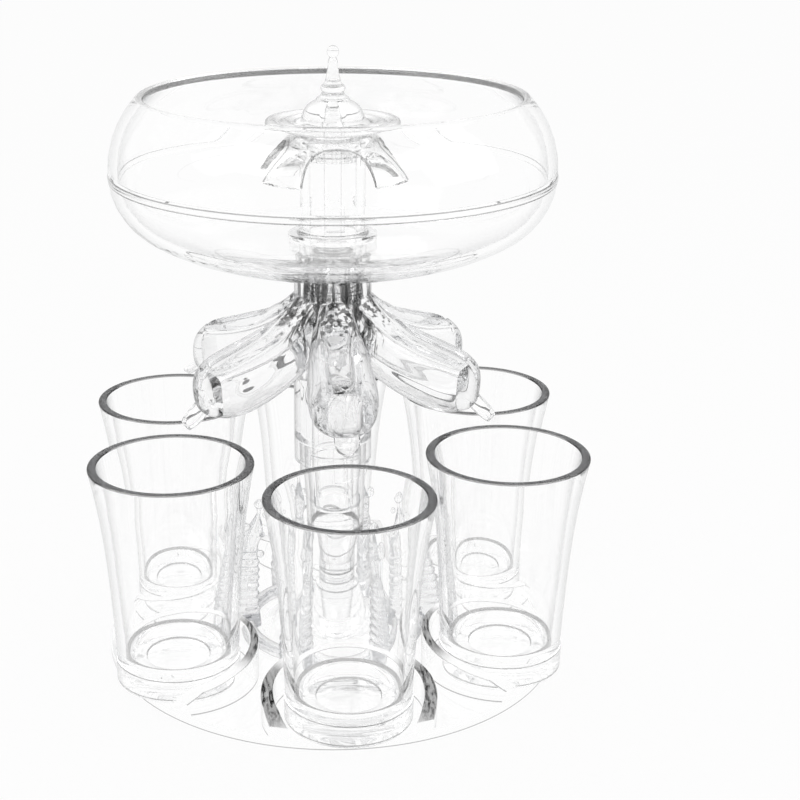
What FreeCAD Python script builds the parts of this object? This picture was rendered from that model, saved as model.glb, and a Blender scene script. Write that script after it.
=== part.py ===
"""Six-glass party shot dispenser: bowl and lift valve over a six-spout distributor and a glass base.

Millimetres, +Z up, origin on the underside of the base at the column's axis.
The first glass stands towards -Y and the others follow at 60 degree steps.
"""
import FreeCAD
import Part
import math
import os
import Sketcher
from FreeCAD import Placement, Rotation, Vector

GLASS_COUNT = 6
STEP_ANGLE = 360.0 / GLASS_COUNT
SLOT_COUNT = 2
PORT_COUNT = 4
VENT_COUNT = 8
# azimuths of a bayonet lug's sides, in degrees from the front
LUG_SIDES = (19.5, 47.5)
LIP_TILT = 41.0
# an arm's sections: share of its reach, share of the neck's rise, tilt,
# shares of the half width and height, share of the end wall in front of the channel
ARM_SECTIONS = (
    (0.13, 0.83, 62.0, 0.60, 0.68, 0.0),
    (0.23, 0.56, 50.0, 0.72, 0.84, 0.0),
    (0.37, 0.36, 33.0, 0.85, 0.90, 0.0),
    (0.54, 0.20, 18.0, 0.95, 0.97, 0.0),
    (0.71, 0.09, 10.0, 1.0, 1.0, 0.3),
    (0.85, 0.03, 6.0, 0.98, 0.94, 0.6),
    (0.94, 0.0, 2.0, 0.85, 0.79, 0.9),
    (1.0, -0.02, 0.0, 0.52, 0.5, 1.0),
)
# the tray along an arm's top: which section, shares of its half width and depth
TRAY_SECTIONS = ((2, 0.75, 0.15), (3, 1.0, 0.8), (4, 1.0, 1.0), (5, 0.9, 0.9), (6, 0.55, 0.2))
# a lip's sections: back from its tip, above it, share of its half width and thickness
LIP_SECTIONS = (
    (9.4, 7.0, 1.1, 1.0),
    (5.5, 4.6, 1.06, 1.0),
    (2.7, 2.3, 1.0, 0.9),
    (0.9, 0.75, 0.8, 0.75),
    (0.0, 0.0, 0.4, 0.45),
)
# sections of a spike and of the leaf at its end: shares of its rise, lean, length and thickness
SPIKE_SECTIONS = (
    (0.0, 0.0, 1.0, 1.15),
    (0.2, -0.08, 0.95, 1.05),
    (0.4, 0.08, 0.8, 0.9),
    (0.56, 0.32, 0.6, 0.7),
    (0.7, 0.55, 0.36, 0.5),
)
LEAF_SECTIONS = (
    (0.66, 0.48, 0.34, 0.45),
    (0.75, 0.63, 0.54, 0.74),
    (0.83, 0.78, 0.38, 0.52),
    (0.91, 0.9, 0.18, 0.32),
    (1.0, 1.0, 0.14, 0.28),
)
# drops that cling to a spike: shares of its rise and lean, outward, to the side, share of radius
CLINGING_DROPS = (
    (0.83, 0.80, 2.2, 0.9, 0.80),
    (0.69, 0.52, 1.6, -1.8, 0.65),
    (0.60, 0.36, -3.1, 1.4, 0.70),
)

SIZES = {
    # base disc, pockets and hub
    "base_thickness": 3.0,
    "base_margin": 14.0,
    "glass_circle": 54.0,
    "pocket_gap": 2.95,
    "pocket_wall": 2.0,
    "pocket_end_rise": 3.2,
    "pocket_knee": 10.0,
    "pocket_knee_rise": 6.7,
    "pocket_side_rise": 8.7,
    "pocket_back_rise": 11.0,
    "hub_rise": 16.5,
    "hub_rim": 1.65,
    "hub_skin": 2.4,
    "hub_clearance": 2.6,
    "socket_rise": 5.0,
    # splash crown
    "crown_clearance": 3.25,
    "crown_ring_width": 4.0,
    "crown_ring_height": 2.6,
    "spike_rise": 40.5,
    "spike_lean": 5.5,
    "spike_length": 5.6,
    "spike_thickness": 2.6,
    "drop_radius": 1.7,
    # post
    "post_radius": 9.7,
    "post_wall": 1.35,
    "post_waist": 2.75,
    "post_foot_gap": 1.0,
    "post_flare": 8.0,
    "post_neck": 7.5,
    "slot_left": 6.6,
    "slot_width": 6.0,
    "slot_leg": 7.3,
    "slot_depth": 19.4,
    "slot_leg_height": 8.2,
    # distributor
    "sleeve_wall": 1.52,
    "sleeve_reach": 6.7,
    "spigot_reach": 20.6,
    "spigot_wall": 2.2,
    "lug_gap": 0.35,
    "seal_depth": 4.0,
    "head_depth": 15.8,
    "floor_depth": 4.0,
    "floor_drop": 2.6,
    "neck_wall": 2.7,
    "neck_rise": 22.8,
    "neck_height": 4.1,
    "neck_bore": 8.3,
    "neck_foot": 1.6,
    "chamber_step": 0.7,
    "chamber_drop": 4.4,
    "bell_flare": 1.5,
    "bell_rise": 6.0,
    "bell_wall": 2.0,
    "arm_half_width": 9.5,
    "arm_half_height": 9.4,
    "arm_setback": 10.1,
    "channel_half_width": 5.2,
    "channel_half_height": 5.8,
    "end_wall": 3.2,
    "tray_half_width": 4.4,
    "tray_depth": 1.6,
    "lip_setback": 4.9,
    "lip_gap": 9.8,
    "lip_drop": 8.6,
    "lip_half_width": 3.4,
    "lip_thickness": 1.3,
    "lip_wall": 0.9,
    # bowl
    "bowl_wall": 2.6,
    "bowl_radius": 61.4,
    "seam_rise": 24.05,
    "gasket_height": 2.0,
    "gasket_stand": 0.35,
    "rim_inset": 8.2,
    "rim_rise": 19.65,
    "turn_inset": 9.9,
    "turn_rise": 6.8,
    "bowl_flat_radius": 30.0,
    # standpipe and its fittings
    "pipe_wall": 2.5,
    "tail_wall": 1.62,
    "pipe_height": 28.1,
    "flange_width": 3.4,
    "flange_height": 2.0,
    "washer_height": 0.8,
    "nut_wall": 1.43,
    "nut_height": 6.2,
    "tail_reach": 7.5,
    "seat_width": 2.0,
    "seat_drop": 1.5,
    "port_width": 5.0,
    "port_height": 8.0,
    "collar_height": 3.8,
    "collar_wall": 1.8,
    "collar_plug": 3.0,
    "bush_wall": 1.8,
    "vent_radius": 0.75,
    "guard_radius": 22.0,
    "guard_drop": 7.6,
    "guard_wall": 1.4,
    "guard_ring": 1.4,
    "arch_half_width": 9.6,
    # valve
    "stem_radius": 2.4,
    "stem_hold": 4.1,
    "plug_height": 4.6,
    "seal_overlap": 1.3,
    "seat_gap": 0.1,
    "disc_gap": 1.0,
    "disc_radius": 18.5,
    "disc_thickness": 3.4,
    "ripple_depth": 0.45,
    "knob_foot": 8.6,
    "knob_height": 19.0,
    "tip_radius": 1.65,
    # glasses
    "glass_height": 65.2,
    "glass_rim_radius": 22.9,
    "glass_foot_radius": 17.8,
    "glass_taper": 1.1,
    "glass_waist": 35.0,
    "glass_rim_wall": 2.5,
    "glass_wall": 3.8,
    "glass_base": 6.5,
    "foot_hollow": 0.8,
    # fits, edges and seals
    "edge_round": 0.6,
    "turn_fit": 0.08,
    "press_fit": 0.05,
    "loose_fit": 0.3,
    "seal_section": 0.62,
}

doc = FreeCAD.newDocument("shot_dispenser")


class Size:
    """A length that knows its number and the expression that binds it to the sheet."""

    def __init__(self, value, text):
        self.value = value
        self.text = text

    @staticmethod
    def of(other):
        return other if isinstance(other, Size) else Size(float(other), repr(float(other)))

    def __add__(self, other):
        other = Size.of(other)
        return Size(self.value + other.value, f"({self.text} + {other.text})")

    def __sub__(self, other):
        other = Size.of(other)
        return Size(self.value - other.value, f"({self.text} - {other.text})")

    def __mul__(self, other):
        other = Size.of(other)
        return Size(self.value * other.value, f"({self.text} * {other.text})")

    def __rmul__(self, other):
        return Size.of(other) * self

    def __radd__(self, other):
        return Size.of(other) + self

    def __rsub__(self, other):
        return Size.of(other) - self

    def __neg__(self):
        return 0.0 - self


def make_sheet():
    """Put every driving dimension in the sheet and return them as named sizes."""
    sheet = doc.addObject("Spreadsheet::Sheet", "Sizes")
    for row, (alias, value) in enumerate(SIZES.items(), start=1):
        sheet.set(f"A{row}", alias.replace("_", " "))
        sheet.set(f"B{row}", str(value))
        sheet.setAlias(f"B{row}", alias)
    doc.recompute()
    names = type("Names", (), {})()
    for alias in SIZES:
        setattr(names, alias, Size(float(sheet.get(alias)), f"Sizes.{alias}"))
    return names


S = make_sheet()


# ---------------------------------------------------------------- drawing helpers

def settle(feature):
    """Recompute, and stop at once if the feature or its solid is broken."""
    doc.recompute()
    if "Invalid" in feature.State or "Error" in feature.State:
        raise RuntimeError(f"{feature.Name} failed: {feature.getStatusString()}")
    return feature


def new_body(name):
    body = doc.addObject("PartDesign::Body", name)
    body.Label = name
    return body


def origin_part(body, role):
    return next(item for item in body.Origin.OriginFeatures if item.Role == role)


def new_sketch(body, name, plane="XZ_Plane"):
    sketch = body.newObject("Sketcher::SketchObject", name)
    sketch.AttachmentSupport = [(origin_part(body, plane), "")]
    sketch.MapMode = "FlatFace"
    return sketch


def bind_coordinate(sketch, geometry, end, kind, size):
    """Hold one coordinate of a vertex at its size, or on the axis where the size is zero."""
    size = Size.of(size)
    if size.value == 0.0:
        axis = -2 if kind == "DistanceX" else -1
        sketch.addConstraint(Sketcher.Constraint("PointOnObject", geometry, end, axis))
        return
    index = sketch.addConstraint(Sketcher.Constraint(kind, -1, 1, geometry, end, size.value))
    if "Sizes" in size.text:
        sketch.setExpression(f"Constraints[{index}]", size.text)


def bind_point(sketch, geometry, end, x, y):
    bind_coordinate(sketch, geometry, end, "DistanceX", x)
    bind_coordinate(sketch, geometry, end, "DistanceY", y)


def draw_outline(sketch, corners):
    """Close an outline through corners (x, y) or (x, y, bulge).

    The bulge is the sagitta over the chord of the arc that leaves the corner,
    positive to the left of the way to the next corner.
    """
    first = sketch.GeometryCount
    count = len(corners)
    for index, corner in enumerate(corners):
        following = corners[(index + 1) % count]
        start = [Size.of(value) for value in corner[:2]]
        end = [Size.of(value) for value in following[:2]]
        a = Vector(start[0].value, start[1].value, 0)
        b = Vector(end[0].value, end[1].value, 0)
        if len(corner) == 2:
            sketch.addGeometry(Part.LineSegment(a, b), False)
            continue
        bulge = corner[2]
        along = b - a
        middle = (a + b) * 0.5 + Vector(-along.y, along.x, 0) * bulge
        sketch.addGeometry(Part.Arc(a, middle, b), False)
    ends = []
    for index, corner in enumerate(corners):
        place = Vector(Size.of(corner[0]).value, Size.of(corner[1]).value, 0)
        gaps = [sketch.getPoint(first + index, end).distanceToPoint(place) for end in (1, 2)]
        ends.append((1, 2) if gaps[0] <= gaps[1] else (2, 1))
    for index in range(count):
        after = (index + 1) % count
        sketch.addConstraint(Sketcher.Constraint(
            "Coincident", first + index, ends[index][1], first + after, ends[after][0]))
        bind_point(sketch, first + index, ends[index][0], *corners[index][:2])
    for index, corner in enumerate(corners):
        if len(corner) == 2:
            continue
        following = corners[(index + 1) % count]
        run = Size.of(following[0]) - corner[0]
        rise = Size.of(following[1]) - corner[1]
        bulge = corner[2]
        depth = (0.25 - bulge * bulge) / (2.0 * bulge)
        if abs(run.value) > abs(rise.value):
            middle = 0.5 * (Size.of(following[1]) + corner[1])
            bind_coordinate(sketch, first + index, 3, "DistanceY", middle - run * depth)
        else:
            middle = 0.5 * (Size.of(following[0]) + corner[0])
            bind_coordinate(sketch, first + index, 3, "DistanceX", middle + rise * depth)


def draw_circle(sketch, x, y, radius):
    radius = Size.of(radius)
    centre = Vector(Size.of(x).value, Size.of(y).value, 0)
    index = sketch.addGeometry(Part.Circle(centre, Vector(0, 0, 1), radius.value), False)
    bind_point(sketch, index, 3, x, y)
    number = sketch.addConstraint(Sketcher.Constraint("Radius", index, radius.value))
    sketch.setExpression(f"Constraints[{number}]", radius.text)


def draw_ellipse(sketch, half_width, half_height):
    """An ellipse about the sketch's own origin, wider or taller as its sizes say."""
    wide = Size.of(half_width)
    tall = Size.of(half_height)
    upright = tall.value > wide.value
    big, small = (tall, wide) if upright else (wide, tall)
    tip = Vector(0, big.value, 0) if upright else Vector(big.value, 0, 0)
    side = Vector(-small.value, 0, 0) if upright else Vector(0, small.value, 0)
    index = sketch.addGeometry(Part.Ellipse(tip, side, Vector(0, 0, 0)), False)
    sketch.exposeInternalGeometry(index)
    sketch.addConstraint(Sketcher.Constraint("Coincident", index, 3, -1, 1))
    sketch.addConstraint(Sketcher.Constraint("Vertical" if upright else "Horizontal", index + 1))
    for line, size in ((index + 1, big), (index + 2, small)):
        number = sketch.addConstraint(Sketcher.Constraint("Distance", line, 2 * size.value))
        sketch.setExpression(f"Constraints[{number}]", (2 * size).text)


def spin(body, name, corners, cut=False):
    """Turn an outline in the XZ plane about the column's axis."""
    sketch = new_sketch(body, name + "_outline")
    draw_outline(sketch, corners)
    kind = "PartDesign::Groove" if cut else "PartDesign::Revolution"
    feature = body.newObject(kind, name)
    feature.Profile = sketch
    feature.ReferenceAxis = (sketch, ["V_Axis"])
    feature.Angle = 360.0
    return settle(feature)


def push(body, name, sketch, depth, cut=False, both_ways=False, backwards=False):
    kind = "PartDesign::Pocket" if cut else "PartDesign::Pad"
    feature = body.newObject(kind, name)
    feature.Profile = sketch
    feature.Length = Size.of(depth).value
    if "Sizes" in Size.of(depth).text:
        feature.setExpression("Length", Size.of(depth).text)
    if both_ways:
        feature.SideType = "Symmetric"
    feature.Reversed = backwards
    settle(feature)
    if cut and feature.Shape.Volume >= feature.BaseFeature.Shape.Volume:
        raise RuntimeError(f"{name} cuts nothing")
    return feature


def repeat(body, name, features, count):
    """Copy features evenly about the column's axis."""
    pattern = body.newObject("PartDesign::PolarPattern", name)
    pattern.Originals = features
    pattern.Axis = (origin_part(body, "Z_Axis"), [""])
    pattern.Angle = 360.0
    pattern.Occurrences = count
    body.Tip = pattern
    return settle(pattern)


def loft(body, name, stations, cut=False):
    """Join ellipses across a curved path that lies in the -Y half of the YZ plane.

    A station is (reach, height, tilt below the horizontal, half width, half height).
    """
    sketches = []
    for number, (reach, height, tilt, half_width, half_height) in enumerate(stations):
        sketch = new_sketch(body, f"{name}_section_{number}")
        sketch.AttachmentOffset = Placement(Vector(0, Size.of(height).value, Size.of(reach).value),
                                            Rotation(Vector(1, 0, 0), tilt))
        sketch.setExpression("AttachmentOffset.Base.y", Size.of(height).text)
        sketch.setExpression("AttachmentOffset.Base.z", Size.of(reach).text)
        draw_ellipse(sketch, half_width, half_height)
        sketches.append(sketch)
    doc.recompute()
    kind = "PartDesign::SubtractiveLoft" if cut else "PartDesign::AdditiveLoft"
    feature = body.newObject(kind, name)
    feature.Profile = sketches[0]
    feature.Sections = sketches[1:]
    return settle(feature)


def make_seal(name, radius, height):
    """A moulded sealing ring of chamfered square section, centred on the column's axis."""
    body = new_body(name)
    half = S.seal_section
    edge = 0.35 * half
    spin(body, name + "_ring", [
        (radius - half, height - half + edge),
        (radius - half + edge, height - half),
        (radius + half - edge, height - half),
        (radius + half, height - half + edge),
        (radius + half, height + half - edge),
        (radius + half - edge, height + half),
        (radius - half + edge, height + half),
        (radius - half, height + half - edge),
    ])
    return body


# ---------------------------------------------------------------- shared places

# radii, from the axis out
post_bore = S.post_radius - S.post_wall
post_waist_radius = S.post_radius - S.post_waist
spigot_radius = post_bore - S.turn_fit
sleeve_bore = S.post_radius + S.turn_fit
sleeve_radius = sleeve_bore + S.sleeve_wall
neck_radius = S.neck_bore + S.neck_wall
chamber_radius = S.neck_bore + S.chamber_step
tail_radius = S.neck_bore - S.turn_fit
clamp_bore = tail_radius + S.press_fit
pipe_bore = tail_radius - S.tail_wall
pipe_radius = pipe_bore + S.pipe_wall
flange_radius = pipe_radius + S.flange_width
seat_bore = pipe_bore - S.seat_width
seal_radius = seat_bore + S.seal_overlap
stem_hole = S.stem_radius + S.press_fit
collar_radius = pipe_radius + S.loose_fit
pocket_bore = S.glass_foot_radius + S.pocket_gap
pocket_back = S.glass_circle - pocket_bore - S.pocket_wall
crown_radius = pocket_back - S.crown_clearance - 0.5 * S.crown_ring_width
hub_foot = crown_radius - 0.5 * S.crown_ring_width - S.hub_clearance
base_radius = S.glass_circle + S.base_margin
arm_reach = S.glass_circle - S.arm_setback
lip_reach = S.glass_circle - S.lip_setback

# heights, from the table up
socket_floor = S.base_thickness + S.socket_rise
hub_top = S.base_thickness + S.hub_rise
post_shoulder = hub_top + S.post_neck
glass_top = S.base_thickness + S.glass_height
lip_height = glass_top + S.lip_gap
arm_height = lip_height + S.lip_drop
chamber_floor = arm_height - S.floor_drop
head_bottom = chamber_floor - S.floor_depth
post_top = head_bottom - S.head_depth
slot_leg_bottom = post_top - S.slot_depth
seal_height = post_top - S.seal_depth
sleeve_bottom = post_top - S.sleeve_reach
spigot_bottom = post_top - S.spigot_reach
neck_bottom = arm_height + S.neck_rise
neck_top = neck_bottom + S.neck_height
tail_bottom = neck_top - S.tail_reach
neck_seal_height = neck_top - 0.5 * S.tail_reach
seat_height = neck_top - S.seat_drop
bowl_floor = neck_top + S.nut_height
inner_floor = bowl_floor + S.bowl_wall
flange_bottom = inner_floor + S.washer_height
bowl_seam = bowl_floor + S.seam_rise
gasket_bottom = bowl_seam - S.gasket_height
pipe_top = bowl_floor + S.pipe_height
guard_top = pipe_top + S.guard_ring
collar_top = guard_top + S.collar_height
disc_bottom = collar_top + S.disc_gap
disc_top = disc_bottom + S.disc_thickness
stem_bottom = seat_height + S.seat_gap
stem_top = disc_top + S.stem_hold


def make_base():
    """Clear disc with six open glass pockets and the raised hub that holds the post."""
    body = new_body("base")
    socket = post_waist_radius + S.press_fit
    rim = socket + S.hub_rim
    skin = socket_floor - S.hub_skin
    spin(body, "disc_and_hub", [
        (socket, socket_floor),
        (socket, hub_top),
        (rim, hub_top, -0.13),
        (hub_foot, S.base_thickness),
        (base_radius - S.edge_round, S.base_thickness),
        (base_radius, S.base_thickness - S.edge_round),
        (base_radius, S.edge_round),
        (base_radius - S.edge_round, 0.0),
        (hub_foot, 0.0, -0.13),
        (rim, skin),
        (0.0, skin),
        (0.0, socket_floor),
    ])
    back_height = S.base_thickness + S.pocket_back_rise
    sketch = new_sketch(body, "pocket_outline", "XY_Plane")
    draw_circle(sketch, 0.0, -S.glass_circle, pocket_bore + S.pocket_wall)
    draw_circle(sketch, 0.0, -S.glass_circle, pocket_bore)
    wall = push(body, "pocket_wall", sketch, back_height)
    repeat(body, "pocket_walls", [wall], GLASS_COUNT)
    outside = S.glass_circle + pocket_bore + 2.0 * S.pocket_wall
    above = 2.0 * back_height
    inside = pocket_back - S.pocket_wall
    spin(body, "pocket_slope", [
        (inside, above),
        (inside, back_height),
        (S.glass_circle - pocket_bore, back_height),
        (S.glass_circle, S.base_thickness + S.pocket_side_rise),
        (S.glass_circle + S.pocket_knee, S.base_thickness + S.pocket_knee_rise),
        (base_radius, S.base_thickness + S.pocket_end_rise),
        (base_radius, 0.0),
        (outside, 0.0),
        (outside, above),
    ], cut=True)
    return body


def add_spike(body, name, sections, spike_radius, foot):
    """Join flat-lying ellipses up a spike that stands at spike_radius and leans inwards."""
    sketches = []
    for number, (height, lean, length, thickness) in enumerate(sections):
        sketch = new_sketch(body, f"{name}_section_{number}", "XY_Plane")
        level = foot + (S.spike_rise - S.turn_fit) * height
        reach = spike_radius - S.spike_lean * lean
        sketch.AttachmentOffset = Placement(Vector(reach.value, 0, level.value), Rotation())
        sketch.setExpression("AttachmentOffset.Base.x", reach.text)
        sketch.setExpression("AttachmentOffset.Base.z", level.text)
        draw_ellipse(sketch, S.spike_length * length, S.spike_thickness * thickness)
        sketches.append(sketch)
    doc.recompute()
    spike = body.newObject("PartDesign::AdditiveLoft", name)
    spike.Profile = sketches[0]
    spike.Sections = sketches[1:]
    return settle(spike)


def add_drop(body, name, reach, side, height, radius):
    """A round drop beside the XZ plane."""
    sketch = new_sketch(body, name + "_outline")
    sketch.AttachmentOffset = Placement(Vector(0, 0, side), Rotation())
    draw_outline(sketch, [
        (reach, height - radius, -0.5),
        (reach, height + radius),
    ])
    drop = body.newObject("PartDesign::Revolution", name)
    drop.Profile = sketch
    drop.ReferenceAxis = (sketch, ["Edge2"])
    drop.Angle = 360.0
    return settle(drop)


def make_crown():
    """Ring of six leaning splash spikes, each tipped with a drop, between the glasses."""
    body = new_body("splash_crown")
    inner = crown_radius - 0.5 * S.crown_ring_width
    outer = crown_radius + 0.5 * S.crown_ring_width
    ring_top = S.base_thickness + S.crown_ring_height
    spin(body, "crown_ring", [
        (inner, S.base_thickness),
        (inner, ring_top, 0.25),
        (outer, ring_top),
        (outer, S.base_thickness),
    ])
    spike_radius = 0.5 * (crown_radius + outer) + 0.125 * S.crown_ring_width
    foot = S.base_thickness + S.turn_fit
    spike_tip = S.base_thickness + S.spike_rise
    spike = add_spike(body, "spike", SPIKE_SECTIONS, spike_radius, foot)
    leaf = add_spike(body, "leaf", LEAF_SECTIONS, spike_radius, foot)
    drops = [add_drop(body, "tip_drop", spike_radius - S.spike_lean, 0.0, spike_tip, S.drop_radius)]
    for number, (height, lean, out, side, share) in enumerate(CLINGING_DROPS):
        reach = spike_radius - S.spike_lean * lean + out
        level = foot + (S.spike_rise - S.turn_fit) * height
        drops.append(add_drop(body, f"drop_{number}", reach, side, level, S.drop_radius * share))
    repeat(body, "spikes", [spike, leaf] + drops, GLASS_COUNT)
    return body


def make_post():
    """Hollow post with a flared foot, a plug for the hub and two bayonet slots."""
    body = new_body("post")
    foot = socket_floor + S.post_foot_gap
    bore_end = post_shoulder + 0.5 * S.post_flare
    spin(body, "tube", [
        (0.0, foot),
        (post_waist_radius, foot),
        (post_waist_radius, post_shoulder, -0.083),
        (S.post_radius, post_shoulder + S.post_flare),
        (S.post_radius, post_top),
        (post_bore, post_top),
        (post_bore, bore_end + 0.6 * post_bore, 0.2),
        (0.3 * post_bore, bore_end),
        (0.0, bore_end),
    ])
    sketch = new_sketch(body, "slot_outline")
    leg_top = slot_leg_bottom + S.slot_leg_height
    slot_right = S.slot_width - S.slot_left
    mouth = post_top + S.post_wall
    draw_outline(sketch, [
        (-S.slot_left, slot_leg_bottom),
        (S.slot_leg, slot_leg_bottom),
        (S.slot_leg, leg_top),
        (slot_right, leg_top),
        (slot_right, mouth),
        (-S.slot_left, mouth),
    ])
    slot = push(body, "slot", sketch, S.post_radius + S.post_wall, cut=True, backwards=True)
    repeat(body, "slots", [slot], SLOT_COUNT)
    return body


def arm_stations(half_width, half_height, end_wall):
    """Sections along one arm, or along the channel in it, from the neck to the blunt end."""
    return [(arm_reach * reach - end_wall * kept,
             arm_height + S.neck_rise * rise,
             tilt,
             half_width * width,
             half_height * height)
            for reach, rise, tilt, width, height, kept in ARM_SECTIONS]


def tray_stations():
    """Sections of the shallow tray that runs along an arm's top."""
    arm = arm_stations(S.arm_half_width, S.arm_half_height, 0.0)
    stations = []
    for number, width, depth in TRAY_SECTIONS:
        reach, height, tilt, _, top = arm[number]
        lean = math.radians(tilt)
        stations.append((reach + top * math.sin(lean),
                         height + top * math.cos(lean),
                         tilt,
                         S.tray_half_width * width,
                         S.tray_depth * depth))
    return stations


def lip_stations(half_width, half_height, lift):
    """Sections along a pouring lip, or along the trough in it, which is lifted."""
    lean = math.radians(LIP_TILT)
    return [(lip_reach - back + lift * math.sin(lean),
             lip_height + above + lift * math.cos(lean),
             LIP_TILT,
             half_width * width,
             half_height * height)
            for back, above, width, height in LIP_SECTIONS]


def add_lugs(body):
    """Two bayonet lugs on the plug, at rest in the closed ends of the post's slots."""
    inner = spigot_radius - 0.5 * S.spigot_wall
    outer = S.post_radius - S.loose_fit
    sides = [math.radians(angle) for angle in LUG_SIDES]
    bend = 0.5 * math.tan(0.25 * (sides[1] - sides[0]))
    left, right = [(math.sin(angle), -math.cos(angle)) for angle in sides]
    sketch = new_sketch(body, "lug_outline", "XY_Plane")
    level = slot_leg_bottom + S.lug_gap
    sketch.AttachmentOffset = Placement(Vector(0, 0, level.value), Rotation())
    sketch.setExpression("AttachmentOffset.Base.z", level.text)
    draw_outline(sketch, [
        (inner * left[0], inner * left[1], -bend),
        (inner * right[0], inner * right[1]),
        (outer * right[0], outer * right[1], bend),
        (outer * left[0], outer * left[1]),
    ])
    lug = push(body, "lug", sketch, S.slot_leg_height - 2.0 * S.lug_gap)
    repeat(body, "lugs", [lug], SLOT_COUNT)


def part_at_seam(body, name, upper):
    """Cut away what lies on the other half's side of the arms' middle."""
    far = lip_reach + S.lip_drop
    level = spigot_bottom - S.edge_round if upper else neck_top + S.edge_round
    spin(body, name, [
        (0.0, arm_height + S.neck_rise * 0.42),
        (chamber_radius - S.bell_wall, arm_height + S.neck_rise * 0.42),
        (arm_reach * 0.35, arm_height + S.neck_rise * 0.32),
        (arm_reach * 0.51, arm_height + S.neck_rise * 0.18),
        (arm_reach * 0.72, arm_height + S.neck_rise * 0.07),
        (far, arm_height),
        (far, level),
        (0.0, level),
    ], cut=True)


def make_distributor(name, upper):
    """One half of the six-armed distributor; the lower half carries sleeve, plug and lips."""
    body = new_body(name)
    groove_floor = spigot_radius - 2.0 * S.seal_section
    spin(body, name + "_core", [
        (0.0, head_bottom),
        (0.0, neck_top),
        (neck_radius - S.edge_round, neck_top),
        (neck_radius, neck_top - S.edge_round),
        (neck_radius, neck_bottom, -0.2),
        (neck_radius - S.edge_round, neck_bottom - S.neck_foot, -0.05),
        (chamber_radius + S.bell_wall + S.bell_flare, chamber_floor + S.bell_rise, 0.15),
        (sleeve_radius, head_bottom),
        (sleeve_radius, sleeve_bottom + S.edge_round),
        (sleeve_radius - S.edge_round, sleeve_bottom),
        (sleeve_bore, sleeve_bottom),
        (sleeve_bore, post_top),
        (spigot_radius, post_top),
        (spigot_radius, seal_height + S.seal_section),
        (groove_floor, seal_height + S.seal_section),
        (groove_floor, seal_height - S.seal_section),
        (spigot_radius, seal_height - S.seal_section),
        (spigot_radius, spigot_bottom),
        (spigot_radius - S.spigot_wall, spigot_bottom),
        (spigot_radius - S.spigot_wall, head_bottom),
    ])
    if not upper:
        add_lugs(body)
    arm = arm_stations(S.arm_half_width, S.arm_half_height, 0.0)
    features = [loft(body, name + "_arm", arm)]
    if not upper:
        lip = lip_stations(S.lip_half_width, S.lip_thickness, 0.0)
        features.append(loft(body, name + "_lip", lip))
    repeat(body, name + "_arms", features, GLASS_COUNT)
    channel = arm_stations(S.channel_half_width, S.channel_half_height, S.end_wall)
    cuts = [loft(body, name + "_channel", channel, cut=True)]
    if upper:
        cuts.append(loft(body, name + "_tray", tray_stations(), cut=True))
    else:
        trough = lip_stations(S.lip_half_width - S.lip_wall, S.lip_thickness, S.lip_wall)
        cuts.append(loft(body, name + "_trough", trough, cut=True))
    repeat(body, name + "_channels", cuts, GLASS_COUNT)
    chamber_top = neck_bottom - S.chamber_drop
    above = neck_top + S.neck_height
    spin(body, name + "_chamber", [
        (0.0, above),
        (0.0, chamber_floor + 0.5 * S.bell_rise),
        (chamber_radius, chamber_floor),
        (chamber_radius, chamber_top),
        (S.neck_bore, chamber_top + S.chamber_step),
        (S.neck_bore, above),
    ], cut=True)
    part_at_seam(body, name + "_parting", upper)
    return body


def make_bowl_lower():
    """Lower bowl shell: flat floor, round belly, open hole for the standpipe."""
    body = new_body("bowl_lower")
    turn_radius = S.bowl_radius - S.turn_inset
    turn_height = bowl_floor + S.turn_rise
    spin(body, "lower_shell", [
        (clamp_bore, bowl_floor),
        (S.bowl_flat_radius, bowl_floor, -0.0563),
        (turn_radius, turn_height, -0.128),
        (S.bowl_radius, gasket_bottom),
        (S.bowl_radius - S.bowl_wall, gasket_bottom, 0.128),
        (turn_radius - 0.5 * S.bowl_wall, turn_height + 0.86 * S.bowl_wall, 0.0563),
        (S.bowl_flat_radius - 0.08 * S.bowl_wall, inner_floor),
        (clamp_bore, inner_floor),
    ])
    return body


def make_bowl_upper():
    """Upper bowl shell: curves in from the widest ring to the rounded rim."""
    body = new_body("bowl_upper")
    rim_radius = S.bowl_radius - S.rim_inset
    rim_height = bowl_seam + S.rim_rise
    spin(body, "upper_shell", [
        (S.bowl_radius, bowl_seam, -0.1019),
        (rim_radius, rim_height, -0.5),
        (rim_radius - 0.69 * S.bowl_wall, rim_height - 0.72 * S.bowl_wall, 0.1019),
        (S.bowl_radius - S.bowl_wall, bowl_seam),
    ])
    return body


def make_gasket():
    """Clear seam ring between the two shells, standing slightly proud inside and out."""
    body = new_body("bowl_seam_ring")
    inner = S.bowl_radius - S.bowl_wall - S.gasket_stand
    spin(body, "seam_ring", [
        (inner, gasket_bottom),
        (S.bowl_radius, gasket_bottom, -0.12),
        (S.bowl_radius, bowl_seam),
        (inner, bowl_seam),
    ])
    return body


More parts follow.
